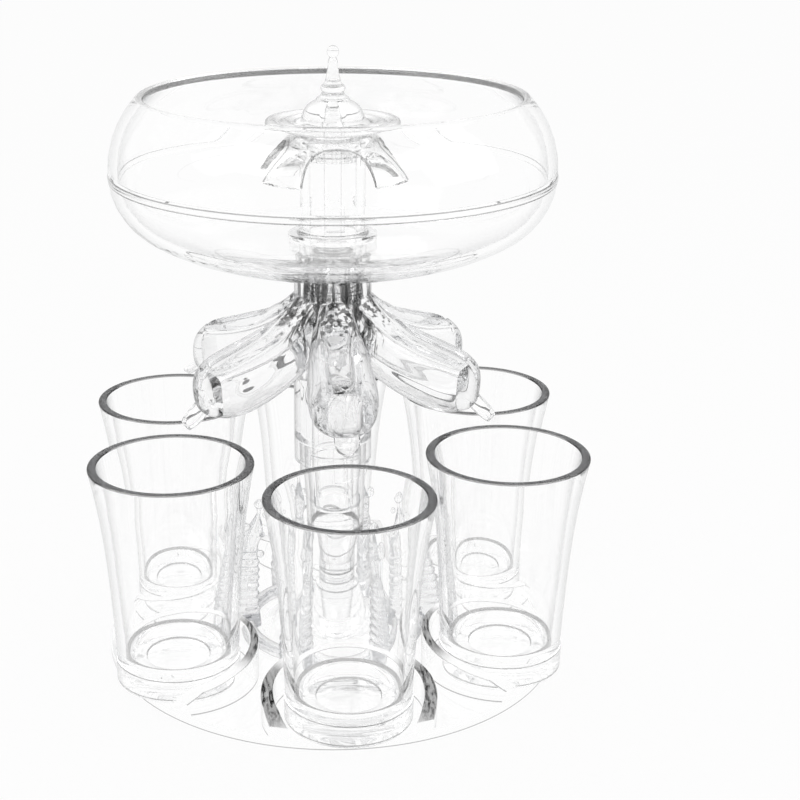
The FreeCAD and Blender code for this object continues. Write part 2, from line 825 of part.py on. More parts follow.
def make_standpipe():
    """Central pipe with floor flange, inlet ports, valve seat and the tail for the neck."""
    body = new_body("standpipe")
    flange_top = flange_bottom + S.flange_height
    groove_floor = tail_radius - 2.0 * S.seal_section
    fillet = 0.5 * S.flange_height
    spin(body, "pipe", [
        (pipe_bore, pipe_top),
        (pipe_radius, pipe_top),
        (pipe_radius, flange_top + fillet, 0.2),
        (pipe_radius + fillet, flange_top),
        (flange_radius, flange_top),
        (flange_radius, flange_bottom),
        (tail_radius, flange_bottom),
        (tail_radius, neck_seal_height + S.seal_section),
        (groove_floor, neck_seal_height + S.seal_section),
        (groove_floor, neck_seal_height - S.seal_section),
        (tail_radius, neck_seal_height - S.seal_section),
        (tail_radius, tail_bottom + S.edge_round),
        (tail_radius - S.edge_round, tail_bottom),
        (seat_bore, tail_bottom),
        (seat_bore, seat_height),
        (pipe_bore, seat_height + S.seat_width),
    ])
    sketch = new_sketch(body, "port_outline")
    low = flange_top + S.flange_height
    half = 0.5 * S.port_width
    draw_outline(sketch, [
        (-half, low),
        (half, low),
        (half, low + S.port_height, 0.5),
        (-half, low + S.port_height),
    ])
    port = push(body, "port", sketch, 4.0 * pipe_radius, cut=True, both_ways=True)
    repeat(body, "ports", [port], PORT_COUNT)
    return body


def make_floor_washer():
    """Flat washer between the bowl's floor and the standpipe's flange."""
    body = new_body("floor_washer")
    outer = flange_radius - S.turn_fit
    spin(body, "washer", [
        (clamp_bore, inner_floor),
        (outer, inner_floor),
        (outer, flange_bottom),
        (clamp_bore, flange_bottom),
    ])
    return body


def make_pipe_nut():
    """Ring nut that clamps the standpipe to the bowl and stands on the distributor's neck."""
    body = new_body("pipe_nut")
    outer = clamp_bore + S.nut_wall
    spin(body, "nut", [
        (clamp_bore, neck_top),
        (outer - S.edge_round, neck_top),
        (outer, neck_top + S.edge_round),
        (outer, bowl_floor),
        (clamp_bore, bowl_floor),
    ])
    return body


def make_collar():
    """Perforated collar that guides the valve stem at the top of the standpipe."""
    body = new_body("guide_collar")
    bush_bore = S.stem_radius + S.turn_fit
    bush_radius = bush_bore + S.bush_wall
    plug_radius = pipe_bore - S.press_fit
    plug_bottom = guard_top - S.collar_plug
    plug_bore = plug_radius - S.guard_wall
    web_bottom = guard_top + S.edge_round
    web_top = web_bottom + S.guard_wall
    spin(body, "collar", [
        (bush_bore, plug_bottom),
        (bush_radius, plug_bottom),
        (bush_radius, web_bottom),
        (plug_bore, web_bottom),
        (plug_bore, plug_bottom),
        (plug_radius, plug_bottom),
        (plug_radius, guard_top),
        (collar_radius, guard_top),
        (collar_radius, collar_top - S.edge_round),
        (collar_radius - S.edge_round, collar_top),
        (collar_radius - S.collar_wall, collar_top),
        (collar_radius - S.collar_wall, web_top),
        (bush_bore, web_top),
    ])
    sketch = new_sketch(body, "vent_outline", "XY_Plane")
    draw_circle(sketch, 0.5 * (bush_radius + plug_bore), 0.0, S.vent_radius)
    vent = push(body, "vent", sketch, 2.0 * collar_top, cut=True, backwards=True)
    repeat(body, "vents", [vent], VENT_COUNT)
    return body


def make_guard():
    """Domed guard with four arches, clamped between the standpipe and its collar."""
    body = new_body("arched_guard")
    low = guard_top - S.guard_drop
    spin(body, "dome", [
        (pipe_bore + S.loose_fit, pipe_top),
        (collar_radius, pipe_top, 0.14),
        (S.guard_radius - S.guard_wall, low),
        (S.guard_radius, low, -0.14),
        (collar_radius + S.loose_fit, guard_top),
        (pipe_bore + S.loose_fit, guard_top),
    ])
    sketch = new_sketch(body, "arch_outline")
    spring = low + S.edge_round
    crown = guard_top - S.guard_ring + S.loose_fit
    key = 0.125 * S.arch_half_width
    draw_outline(sketch, [
        (-S.arch_half_width, low - S.edge_round),
        (S.arch_half_width, low - S.edge_round),
        (S.arch_half_width, spring, 0.16),
        (key, crown, 0.3),
        (-key, crown, 0.16),
        (-S.arch_half_width, spring),
    ])
    arch = push(body, "arch", sketch, 2.2 * S.guard_radius, cut=True, both_ways=True)
    repeat(body, "arches", [arch], PORT_COUNT)
    return body


def make_stem():
    """Rod that joins the plug at the bowl's floor to the knob."""
    body = new_body("valve_stem")
    spin(body, "stem", [
        (0.0, stem_bottom),
        (S.stem_radius - S.edge_round, stem_bottom),
        (S.stem_radius, stem_bottom + S.edge_round),
        (S.stem_radius, stem_top - S.edge_round),
        (S.stem_radius - S.edge_round, stem_top),
        (0.0, stem_top),
    ])
    return body


def make_plug():
    """Plug on the stem's lower end, with a shoulder over the seal."""
    body = new_body("valve_plug")
    edge = seat_bore - S.loose_fit
    top = stem_bottom + S.plug_height
    shoulder = top - 2.0 * S.edge_round
    spin(body, "plug", [
        (stem_hole, stem_bottom),
        (edge, stem_bottom),
        (edge, shoulder),
        (seal_radius, shoulder),
        (seal_radius, top - S.edge_round, 0.2),
        (stem_hole + 2.0 * S.edge_round, top),
        (stem_hole, top),
    ])
    return body


def make_plug_seal():
    """Soft ring with a cone that meets the seat."""
    body = new_body("plug_seal")
    inner = seat_bore - S.loose_fit + S.press_fit
    bottom = stem_bottom + S.seat_gap
    top = stem_bottom + S.plug_height - 2.0 * S.edge_round
    spin(body, "seal", [
        (inner, bottom),
        (seat_bore, bottom),
        (seal_radius, bottom + S.seal_overlap),
        (seal_radius, top),
        (inner, top),
    ])
    return body


def make_disc():
    """Ripple disc on the stem: rounded rim and concentric waves on its upper face."""
    body = new_body("ripple_disc")
    radius = S.disc_radius
    dish = disc_bottom + 0.235 * S.disc_thickness
    trough = disc_top - S.edge_round - S.ripple_depth
    wave = 0.21
    spin(body, "disc", [
        (stem_hole, dish),
        (radius * 0.45, dish, 0.05),
        (radius * 0.9, disc_bottom, -0.22),
        (radius, disc_bottom + 0.55 * S.disc_thickness, -0.3),
        (radius * 0.93, disc_top - 0.5 * S.edge_round, -wave),
        (radius * 0.86, trough, wave),
        (radius * 0.76, trough, -wave),
        (radius * 0.66, trough, wave),
        (radius * 0.56, trough),
        (S.knob_foot, disc_top),
        (stem_hole, disc_top),
    ])
    return body


def make_knob():
    """Splash-drop knob: stepped foot, bead, slim neck and the drop about to fall off."""
    body = new_body("drop_knob")
    foot = S.knob_foot
    rise = S.knob_height
    tip = disc_top + rise
    bead = S.tip_radius
    spin(body, "knob", [
        (stem_hole, disc_top),
        (foot, disc_top, -0.14),
        (foot * 0.56, disc_top + rise * 0.24),
        (foot * 0.50, disc_top + rise * 0.285, 0.12),
        (foot * 0.34, disc_top + rise * 0.36, -0.28),
        (foot * 0.33, disc_top + rise * 0.46, 0.12),
        (foot * 0.23, disc_top + rise * 0.55, 0.03),
        (foot * 0.15, disc_top + rise * 0.80, 0.05),
        (bead * 0.55, tip - bead * 1.84, -0.14),
        (bead, tip - bead, -0.19),
        (0.15 * bead, tip),
        (0.0, tip),
        (0.0, stem_top + S.loose_fit),
        (stem_hole, stem_top + S.loose_fit),
    ])
    return body


def make_glass(number):
    """Thick-footed shot glass that flares to a rounded rim, standing in its pocket."""
    name = f"glass_{number + 1}"
    body = new_body(name)
    low = S.base_thickness
    foot = S.glass_foot_radius
    top = glass_top - 0.5 * S.glass_rim_wall
    waist = low + S.glass_waist
    floor = low + S.glass_base
    bore = foot - S.glass_wall
    spin(body, name + "_wall", [
        (0.0, low + S.foot_hollow),
        (foot * 0.72, low + S.foot_hollow),
        (foot * 0.80, low),
        (foot - 1.0, low, -0.2071),
        (foot, low + 1.0),
        (foot, floor + 0.6, 0.15),
        (foot - 0.25, floor + 1.4, 0.0058),
        (foot + S.glass_taper, waist, 0.0164),
        (S.glass_rim_radius, top, -0.5),
        (S.glass_rim_radius - S.glass_rim_wall, top, -0.035),
        (bore + 0.2, waist),
        (bore, floor + 3.4, -0.16),
        (bore - 2.2, floor + 1.1, -0.05),
        (bore * 0.66, floor + 0.5),
        (bore * 0.64, floor),
        (0.0, floor),
    ])
    azimuth = math.radians(STEP_ANGLE * number)
    side = S.glass_circle * math.sin(azimuth)
    front = S.glass_circle * -math.cos(azimuth)
    body.Placement = Placement(Vector(side.value, front.value, 0),
                               Rotation(Vector(0, 0, 1), STEP_ANGLE * number))
    body.setExpression("Placement.Base.x", side.text)
    body.setExpression("Placement.Base.y", front.text)
    return body


def make_bodies():
    """Every named piece, from the table up."""
    bodies = [
        make_base(),
        make_crown(),
        make_post(),
        make_distributor("distributor_lower", upper=False),
        make_distributor("distributor_upper", upper=True),
        make_seal("post_seal", spigot_radius - S.seal_section, seal_height),
        make_bowl_lower(),
        make_gasket(),
        make_bowl_upper(),
        make_standpipe(),
        make_floor_washer(),
        make_pipe_nut(),
        make_seal("neck_seal", tail_radius - S.seal_section, neck_seal_height),
        make_guard(),
        make_collar(),
        make_stem(),
        make_plug(),
        make_plug_seal(),
        make_disc(),
        make_knob(),
    ]
    return bodies + [make_glass(number) for number in range(GLASS_COUNT)]


def main():
    bodies = make_bodies()
    doc.recompute()
    for item in doc.Objects:
        if "Invalid" in item.State or "Error" in item.State:
            raise RuntimeError(f"{item.Name} failed: {item.State}")
    for body in bodies:
        if body.Shape.isNull() or not body.Shape.isValid():
            raise RuntimeError(f"{body.Label} has no valid shape")
    os.makedirs("parts", exist_ok=True)
    for body in bodies:
        body.Shape.exportStep(f"parts/{body.Label}.step")
        box = body.Shape.BoundBox
        print(f"{body.Label:20s} solids {len(body.Shape.Solids)} volume {body.Shape.Volume:9.1f} "
              f"z {box.ZMin:6.1f} to {box.ZMax:6.1f}")


main()
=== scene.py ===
"""Looks for the clear party shot dispenser: glass-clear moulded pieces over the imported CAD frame.

Lengths in the outlines are millimetres from the underside of the base at the column's axis;
they are the part's own sizes, and MM turns them into Blender's metres.
"""

import math

import bmesh
import bpy
from mathutils import Matrix, Vector


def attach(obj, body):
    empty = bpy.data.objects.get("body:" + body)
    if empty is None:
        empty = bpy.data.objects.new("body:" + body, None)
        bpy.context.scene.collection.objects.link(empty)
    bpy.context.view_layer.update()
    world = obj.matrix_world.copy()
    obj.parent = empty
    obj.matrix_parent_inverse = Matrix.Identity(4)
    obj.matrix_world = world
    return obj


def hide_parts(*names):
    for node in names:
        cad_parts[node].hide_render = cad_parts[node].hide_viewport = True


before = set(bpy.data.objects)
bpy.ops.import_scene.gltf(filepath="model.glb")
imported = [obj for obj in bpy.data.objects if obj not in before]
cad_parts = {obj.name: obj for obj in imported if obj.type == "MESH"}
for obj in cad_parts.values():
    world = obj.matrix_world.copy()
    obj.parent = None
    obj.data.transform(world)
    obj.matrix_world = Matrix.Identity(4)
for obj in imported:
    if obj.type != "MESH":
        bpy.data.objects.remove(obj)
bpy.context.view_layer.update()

MM = 0.001
GLASS_COUNT = 6
TURN_STEPS = 144
STEP_ANGLE = 2.0 * math.pi / GLASS_COUNT
GLASS_CIRCLE = 54.0
# an arc's sagitta over its chord, negative where the corner is rounded outwards
QUARTER_ROUND = -0.2071
HALF_ROUND = -0.5
# pieces that rest on each other keep this sliver of air, or their shared faces render black
SKIN_GAP = 0.03
# width of the bands of painted shade that draw an edge as a fine dark line
FOOT_LINE = 0.36
# faces that meet at less than this many degrees are shaded as one curve
SHARP_ANGLE = 35.0
BASE_SHARP = 30.0
BELL_SHARP = 40.0
ALL_SMOOTH = 180.0
WHITE = (1.0, 1.0, 1.0)


# ---------------------------------------------------------------- materials

ACRYLIC_IOR = 1.49
# how much of a lamp's light a clear skin lets through to the floor and the pieces behind it
SHADOW_TINT = (0.93, 0.93, 0.93, 1.0)
SMOKE_TINT = (0.5, 0.51, 0.53, 1.0)


def clear_plastic(name, tint, edge, reach, haze=0.02, density=0.0, ior=ACRYLIC_IOR):
    """Clear moulded acrylic: glassy, faintly wavy, with painted shade where its skin is seen edge
    on.

    reach holds the two values of Layer Weight's Facing between which tint turns into edge, the
    painted shade that stands in for the dark surroundings which bent light shows at the skin's
    edges.
    Only rays that enter the piece take the tint. haze is the highest roughness, and density
    that of the grey smoky tint inside.
    """
    material = bpy.data.materials.new(name)
    material.use_nodes = True
    tree = material.node_tree
    nodes = tree.nodes
    links = tree.links
    shader = nodes["Principled BSDF"]
    shader.inputs["Transmission Weight"].default_value = 1.0
    shader.inputs["IOR"].default_value = ior

    # painted shade: the base colour turns from tint to the darker edge where the skin is seen edge
    # on
    facing = nodes.new("ShaderNodeLayerWeight")
    ramp = nodes.new("ShaderNodeValToRGB")
    ramp.color_ramp.elements[0].position = reach[0]
    ramp.color_ramp.elements[0].color = (*tint, 1.0)
    ramp.color_ramp.elements[1].position = reach[1]
    ramp.color_ramp.elements[1].color = (*edge, 1.0)
    links.new(facing.outputs["Facing"], ramp.inputs["Fac"])
    side = nodes.new("ShaderNodeNewGeometry")
    entering = nodes.new("ShaderNodeMixRGB")
    entering.inputs["Color2"].default_value = (*WHITE, 1.0)
    links.new(side.outputs["Backfacing"], entering.inputs["Fac"])
    links.new(ramp.outputs["Color"], entering.inputs["Color1"])
    links.new(entering.outputs["Color"], shader.inputs["Base Color"])

    place = nodes.new("ShaderNodeTexCoord")
    flow = nodes.new("ShaderNodeTexNoise")
    flow.inputs["Scale"].default_value = 90.0
    flow.inputs["Detail"].default_value = 3.0
    links.new(place.outputs["Object"], flow.inputs["Vector"])
    smear = nodes.new("ShaderNodeMapRange")
    smear.inputs["To Max"].default_value = haze
    links.new(flow.outputs["Fac"], smear.inputs["Value"])
    links.new(smear.outputs["Result"], shader.inputs["Roughness"])
    wave = nodes.new("ShaderNodeBump")
    wave.inputs["Strength"].default_value = 0.02
    wave.inputs["Distance"].default_value = 0.0004
    links.new(flow.outputs["Fac"], wave.inputs["Height"])
    links.new(wave.outputs["Normal"], shader.inputs["Normal"])

    lamp_ray = nodes.new("ShaderNodeLightPath")
    open_film = nodes.new("ShaderNodeBsdfTransparent")
    open_film.inputs["Color"].default_value = SHADOW_TINT
    mix = nodes.new("ShaderNodeMixShader")
    links.new(lamp_ray.outputs["Is Shadow Ray"], mix.inputs["Fac"])
    links.new(shader.outputs["BSDF"], mix.inputs[1])
    links.new(open_film.outputs["BSDF"], mix.inputs[2])
    output = nodes["Material Output"]
    links.new(mix.outputs["Shader"], output.inputs["Surface"])
    if density > 0.0:
        volume = nodes.new("ShaderNodeVolumeAbsorption")
        volume.inputs["Color"].default_value = SMOKE_TINT
        volume.inputs["Density"].default_value = density
        links.new(volume.outputs["Volume"], output.inputs["Volume"])
    return material


def math_node(tree, operation, first, second):
    """A Math node on two sources, each a socket or a number; returns its value."""
    node = tree.nodes.new("ShaderNodeMath")
    node.operation = operation
    for socket, source in zip(node.inputs, (first, second)):
        if isinstance(source, float):
            socket.default_value = source
        else:
            tree.links.new(source, socket)
    return node.outputs["Value"]


def spread_node(tree, value, low, high, start, end):
    """A clamped Map Range node from low..high to start..end; returns its result."""
    node = tree.nodes.new("ShaderNodeMapRange")
    node.inputs["From Min"].default_value = low
    node.inputs["From Max"].default_value = high
    node.inputs["To Min"].default_value = start
    node.inputs["To Max"].default_value = end
    tree.links.new(value, node.inputs["Value"])
    return node.outputs["Result"]


def streaks(tree, stretch, scale):
    """Noise drawn out along the axes whose stretch is below 1; returns the place and the noise."""
    place = tree.nodes.new("ShaderNodeTexCoord")
    axes = tree.nodes.new("ShaderNodeSeparateXYZ")
    tree.links.new(place.outputs["Object"], axes.inputs["Vector"])
    pull = tree.nodes.new("ShaderNodeVectorMath")
    pull.operation = "MULTIPLY"
    pull.inputs[1].default_value = stretch
    tree.links.new(place.outputs["Object"], pull.inputs[0])
    noise = tree.nodes.new("ShaderNodeTexNoise")
    noise.inputs["Scale"].default_value = scale
    noise.inputs["Detail"].default_value = 3.0
    tree.links.new(pull.outputs["Vector"], noise.inputs["Vector"])
    return axes.outputs, noise.outputs["Fac"]


def reach_of(tree, axes):
    """Distance from the column's axis, in metres."""
    across = math_node(tree, "MULTIPLY", axes["X"], axes["X"])
    along = math_node(tree, "MULTIPLY", axes["Y"], axes["Y"])
    return math_node(tree, "SQRT", math_node(tree, "ADD", across, along), 0.0)


def darken(tree, amount, dark):
    """Paint shade: multiply the look's own colour by white where amount is 0 and by dark where it
    is 1.
    """
    shader = tree.nodes["Principled BSDF"]
    colour = shader.inputs["Base Color"].links[0].from_socket
    mix = tree.nodes.new("ShaderNodeMixRGB")
    mix.blend_type = "MULTIPLY"
    mix.inputs["Color2"].default_value = (dark, dark, dark, 1.0)
    tree.links.new(amount, mix.inputs["Fac"])
    tree.links.new(colour, mix.inputs["Color1"])
    tree.links.new(mix.outputs["Color"], shader.inputs["Base Color"])


def pocket_top_look():
    """Tops of the pocket walls: darkened by streaked painted shade, as much as a vertex attribute
    gives.
    """
    material = clear_plastic("pocket_top", WHITE, (0.5, 0.5, 0.5), (0.8, 1.0), 0.03)
    tree = material.node_tree
    noise = streaks(tree, (1.0, 0.15, 1.0), 1300.0)[1]
    painted_shade = tree.nodes.new("ShaderNodeAttribute")
    painted_shade.attribute_name = "painted_shade"
    shade_streaks = spread_node(tree, noise, 0.4, 0.58, 0.85, 1.0)
    darken(tree, math_node(tree, "MULTIPLY", painted_shade.outputs["Fac"], shade_streaks), 0.0)
    return material


# in metres: the bell's painted streaks of shade fade out between these distances from the
# column's axis and between these heights
BELL_REACH = (0.013, 0.024)
BELL_HEIGHT = (0.088, 0.096)


def arm_look():
    """Clear plastic with painted shade: black streaks on the thick fluted bell, and a few marks
    elsewhere, for the black and white pattern that bent light shows in it.
    """
    material = clear_plastic("arm_clear", WHITE, (0.04, 0.04, 0.045), (0.5, 0.92), 0.03, 6.0)
    tree = material.node_tree
    axes, noise = streaks(tree, (1.0, 1.0, 0.1), 700.0)
    inward = spread_node(tree, reach_of(tree, axes), *BELL_REACH, 1.0, 0.0)
    high = spread_node(tree, axes["Z"], *BELL_HEIGHT, 0.0, 1.0)
    bell = math_node(tree, "MULTIPLY", inward, high)
    least = spread_node(tree, bell, 0.0, 1.0, 0.76, 0.5)
    over = math_node(tree, "SUBTRACT", noise, least)
    amount = spread_node(tree, over, 0.0, 0.05, 0.0, 1.0)
    darken(tree, amount, 0.04)
    return material


# heights of the post's rings of painted shade, from and to, and how dark each is
POST_SPAN = 70.0
POST_SHADE_RINGS = (
    (21.0, 21.4, 0.7),
    (24.0, 24.5, 0.9),
    (29.3, 29.8, 0.8),
    (36.2, 38.0, 0.85),
    (46.0, 46.4, 0.6),
)


def post_look():
    """Clear plastic with thin rings of painted shade, for those that the post's shoulder and floor
    show through it.
    """
    material = clear_plastic("post_clear", WHITE, (0.06, 0.06, 0.065), (0.45, 0.92), density=6.0)
    tree = material.node_tree
    axes, noise = streaks(tree, (1.0, 1.0, 0.5), 300.0)
    wavering = math_node(tree, "ADD", axes["Z"], math_node(tree, "MULTIPLY", noise, 0.0006))
    rings = tree.nodes.new("ShaderNodeValToRGB")
    rings.color_ramp.interpolation = "CONSTANT"
    rings.color_ramp.elements[0].color = (0.0, 0.0, 0.0, 1.0)
    rings.color_ramp.elements[1].position = 0.999
    rings.color_ramp.elements[1].color = (0.0, 0.0, 0.0, 1.0)
    for low, high, amount in POST_SHADE_RINGS:
        start = rings.color_ramp.elements.new(low / POST_SPAN)
        start.color = (amount, amount, amount, 1.0)
        stop = rings.color_ramp.elements.new(high / POST_SPAN)
        stop.color = (0.0, 0.0, 0.0, 1.0)
    share = math_node(tree, "DIVIDE", wavering, POST_SPAN * MM)
    tree.links.new(share, rings.inputs["Fac"])
    darken(tree, rings.outputs["Color"], 0.05)
    return material


GLASS_LOOK = clear_plastic("glass_clear", WHITE, (0.28, 0.285, 0.29), (0.56, 0.95))
# painted shade: the glasses' rims are drawn dark grey, nearly black at their edges, for the
# darkness that light bent inside the rim shows
GLASS_RIM_SHADE_LOOK = clear_plastic("glass_rim_painted_shade", (0.2, 0.2, 0.2), (0.015, 0.015, 0.016), (0.3, 0.56), ior=1.25)
BOWL_LOOK = clear_plastic("bowl_clear", WHITE, (0.3, 0.31, 0.32), (0.7, 1.0))
# painted shade: the inward half of the bowl's rim is drawn nearly black, for the dark line that
# bent light shows along it
BOWL_RIM_SHADE_LOOK = clear_plastic("bowl_rim_painted_shade", (0.09, 0.09, 0.09), (0.05, 0.05, 0.05), (0.4, 0.9))
# painted shade: dark grey bands that draw edges as fine dark lines, for the dark outlines that bent
# light shows along them
EDGE_SHADE_LOOK = clear_plastic("painted_edge_shade", (0.25, 0.25, 0.25), (0.1, 0.1, 0.1), (0.3, 0.8))
KNOB_LOOK = clear_plastic("knob_clear", WHITE, (0.12, 0.12, 0.125), (0.5, 0.95))
PIPE_LOOK = clear_plastic("pipe_clear", WHITE, (0.45, 0.45, 0.46), (0.6, 1.0))
ARM_LOOK = arm_look()
BASE_LOOK = clear_plastic("base_clear", WHITE, (0.35, 0.36, 0.37), (0.68, 1.0), 0.03)
POST_LOOK = post_look()
CROWN_LOOK = clear_plastic("crown_clear", WHITE, (0.05, 0.05, 0.055), (0.35, 0.9), 0.03, 35.0)
POCKET_TOP_LOOK = pocket_top_look()
SEAL_LOOK = clear_plastic("seal_clear", (0.97, 0.97, 0.97), (0.6, 0.6, 0.6), (0.6, 1.0), 0.15)


# ---------------------------------------------------------------- mesh helpers

def arc(a, b, bulge, steps):
    """Points of the arc that leaves a for b; the bulge is its sagitta over its chord."""
    along = Vector(b) - Vector(a)
    side = Vector((-along.y, along.x))
    centre = (Vector(a) + Vector(b)) / 2 - side * ((0.25 - bulge * bulge) / (2.0 * bulge))
    start = Vector(a) - centre
    sweep = -4.0 * math.atan(2.0 * bulge)
    turned = []
    for step in range(steps):
        turned.append(centre + Matrix.Rotation(sweep * step / steps, 2) @ start)
    return turned


def outline(corners):
    """Points round closed corners (r, z) or (r, z, bulge), finer where an arc turns more."""
    points = []
    for index, corner in enumerate(corners):
        following = corners[(index + 1) % len(corners)]
        if len(corner) == 2:
            points.append(Vector(corner))
            continue
        steps = max(4, round(abs(corner[2]) * 48))
        points += arc(corner[:2], following[:2], corner[2], steps)
    return points


def smooth_up_to(piece, sharp):
    """Shade faces as one curve where they meet at less than the sharp angle, in degrees."""
    for face in piece.data.polygons:
        face.use_smooth = True
    piece.data.set_sharp_from_angle(angle=math.radians(sharp))


def object_of(name, build):
    """Turn a bmesh into an object in the scene."""
    mesh = bpy.data.meshes.new(name)
    build.to_mesh(mesh)
    build.free()
    made = bpy.data.objects.new(name, mesh)
    bpy.context.scene.collection.objects.link(made)
    return made


def new_piece(name, build, body, material):
    """Make a visible piece from a bmesh and hand it to its body."""
    build.normal_update()
    piece = object_of(name, build)
    smooth_up_to(piece, SHARP_ANGLE)
    piece.data.materials.append(material)
    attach(piece, body)
    return piece


# an outline's point this near the axis becomes a single vertex
ON_AXIS = 1e-6


def lathe_mesh(corners, centre=(0.0, 0.0), swell=None):
    """Turn a closed outline about the vertical line through the centre.

    swell(radius, level, angle) adds to the radius, for ribs and flutes.
    """
    points = outline(corners)
    build = bmesh.new()
    rings = []
    for point in points:
        if point.x < ON_AXIS:
            rings.append([build.verts.new((centre[0] * MM, centre[1] * MM, point.y * MM))])
            continue
        ring = []
        for step in range(TURN_STEPS):
            angle = 2.0 * math.pi * step / TURN_STEPS
            radius = point.x + (swell(point.x, point.y, angle) if swell else 0.0)
            x = centre[0] + radius * math.cos(angle)
            y = centre[1] + radius * math.sin(angle)
            ring.append(build.verts.new((x * MM, y * MM, point.y * MM)))
        rings.append(ring)
    for index, ring in enumerate(rings):
        other = rings[(index + 1) % len(rings)]
        if len(ring) == 1 and len(other) == 1:
            continue
        for step in range(TURN_STEPS):
            after = (step + 1) % TURN_STEPS
            if len(ring) == 1:
                build.faces.new((ring[0], other[after], other[step]))
            elif len(other) == 1:
                build.faces.new((ring[step], ring[after], other[0]))
            else:
                build.faces.new((ring[step], ring[after], other[after], other[step]))
    bmesh.ops.recalc_face_normals(build, faces=build.faces)
    return build


def lathe(name, node, corners, body, material, centre=(0.0, 0.0)):
    """A turned piece that replaces one CAD node."""
    piece = new_piece(name, lathe_mesh(corners, centre), body, material)
    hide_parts(node)
    return piece


def smooth_step(value):
    """0 below 0, 1 above 1, and an eased ramp between."""
    value = min(max(value, 0.0), 1.0)
    return value * value * (3.0 - 2.0 * value)


def close_rings(build, rings):
    """Skin rings of equal length and close both ends."""
    for first, second in zip(rings, rings[1:]):
        for index in range(len(first)):
            after = (index + 1) % len(first)
            build.faces.new((first[index], first[after], second[after], second[index]))
    build.faces.new(reversed(rings[0]))
    build.faces.new(rings[-1])


def spline(rows, share):
    """Point at a share of the way along rows of numbers, on a Catmull-Rom curve."""
    place = share * (len(rows) - 1)
    index = min(int(place), len(rows) - 2)
    t = place - index
    before = rows[max(index - 1, 0)]
    after = rows[min(index + 2, len(rows) - 1)]
    point = []
    for p0, p1, p2, p3 in zip(before, rows[index], rows[index + 1], after):
        point.append(0.5 * (2 * p1 + (p2 - p0) * t + (2 * p0 - 5 * p1 + 4 * p2 - p3) * t * t
                            + (3 * p1 - p0 - 3 * p2 + p3) * t ** 3))
    return point


def second_look(piece, material, chosen):
    """Give the faces that chosen(middle, normal) picks, in millimetres, another material."""
    piece.data.materials.append(material)
    slot = len(piece.data.materials) - 1
    for face in piece.data.polygons:
        if chosen(face.center / MM, face.normal):
            face.material_index = slot


# ---------------------------------------------------------------- glasses

GLASS_LOW = 3.0
GLASS_FLOOR = GLASS_LOW + 6.5
GLASS_WAIST = GLASS_LOW + 35.0
GLASS_TOP = 68.2
GLASS_FOOT = 17.8
# from where the foot's rounded lower edge ends to where the step under the wall begins
FOOT_LOW = GLASS_LOW + 1.0
FOOT_HIGH = GLASS_FLOOR + 0.6
RIM_OUTER = 22.9
RIM_INNER = 20.4
RIM_EDGE = 0.45
# the wall's inner foot curves into the floor below this height
CURVE_TOP = GLASS_FLOOR + 3.4
PUNT_TOP = GLASS_FLOOR + 0.5


def glass_outline():
    """Half section of a glass: foot, wall, flat rim, wall again and punt."""
    hollow = GLASS_LOW + 0.8
    top = GLASS_TOP - RIM_EDGE
    return [
        (0.0, hollow),
        (GLASS_FOOT * 0.72, hollow),
        (GLASS_FOOT * 0.80, GLASS_LOW + SKIN_GAP),
        (GLASS_FOOT - 1.0, GLASS_LOW + SKIN_GAP, QUARTER_ROUND),
        (GLASS_FOOT, FOOT_LOW),
        (GLASS_FOOT, FOOT_LOW + FOOT_LINE),
        (GLASS_FOOT, FOOT_HIGH - FOOT_LINE),
        (GLASS_FOOT, FOOT_HIGH, 0.15),
        (GLASS_FOOT - 0.25, GLASS_FLOOR + 1.4, 0.0058),
        (18.9, GLASS_WAIST, 0.0164),
        (RIM_OUTER, top, QUARTER_ROUND),
        (RIM_OUTER - RIM_EDGE, GLASS_TOP),
        (RIM_INNER + RIM_EDGE, GLASS_TOP, QUARTER_ROUND),
        (RIM_INNER, top, -0.022),
        (16.5, GLASS_WAIST),
        (15.1, CURVE_TOP, -0.16),
        (12.6, GLASS_FLOOR + 1.1, -0.05),
        (9.24, PUNT_TOP),
        (8.96, GLASS_FLOOR),
        (0.0, GLASS_FLOOR),
    ]


def on_glass_rim(middle, normal):
    """True on the flat of a glass's rim and the upper half of its edges, which take the rim's
    painted shade.
    """
    return normal.z > 0.3 and middle.z > GLASS_TOP - RIM_EDGE


def on_glass_line(spot):
    """Picks the thin bands of painted shade round a glass's foot, its punt and the curve of its
    floor.
    """
    def chosen(middle, normal):
        radius = (middle.xy - spot).length
        if radius > 17.0:
            low = FOOT_LOW < middle.z < FOOT_LOW + FOOT_LINE
            return low or FOOT_HIGH - FOOT_LINE < middle.z < FOOT_HIGH
        curve = 14.0 < radius and CURVE_TOP - 0.55 < middle.z < CURVE_TOP
        return curve or (8.9 < radius < 9.3 and GLASS_FLOOR < middle.z < PUNT_TOP)

    return chosen


def pocket_centre(number):
    """Where a glass and its pocket stand: the first at the front, the others round the base."""
    azimuth = STEP_ANGLE * number
    return (GLASS_CIRCLE * math.sin(azimuth), -GLASS_CIRCLE * math.cos(azimuth))


for number in range(GLASS_COUNT):
    spot = pocket_centre(number)
    label = f"glass_{number + 1}"
    glass = lathe(label + "_shape", label, glass_outline(), label, GLASS_LOOK, spot)
    second_look(glass, GLASS_RIM_SHADE_LOOK, on_glass_rim)
    second_look(glass, EDGE_SHADE_LOOK, on_glass_line(Vector(spot)))


# ---------------------------------------------------------------- bowl

BOWL_OUTER = 61.4
BOWL_INNER = 58.8
BOWL_BORE = 8.4
BOWL_UNDERSIDE = 119.7
BOWL_FLOOR = 122.3
SHELL_LOW = 141.72
SHELL_HIGH = 143.75
SEAM_LOW = 141.8
SEAM_HIGH = 143.7
SEAM_INNER = 58.45
SEAM_LINE = 0.3

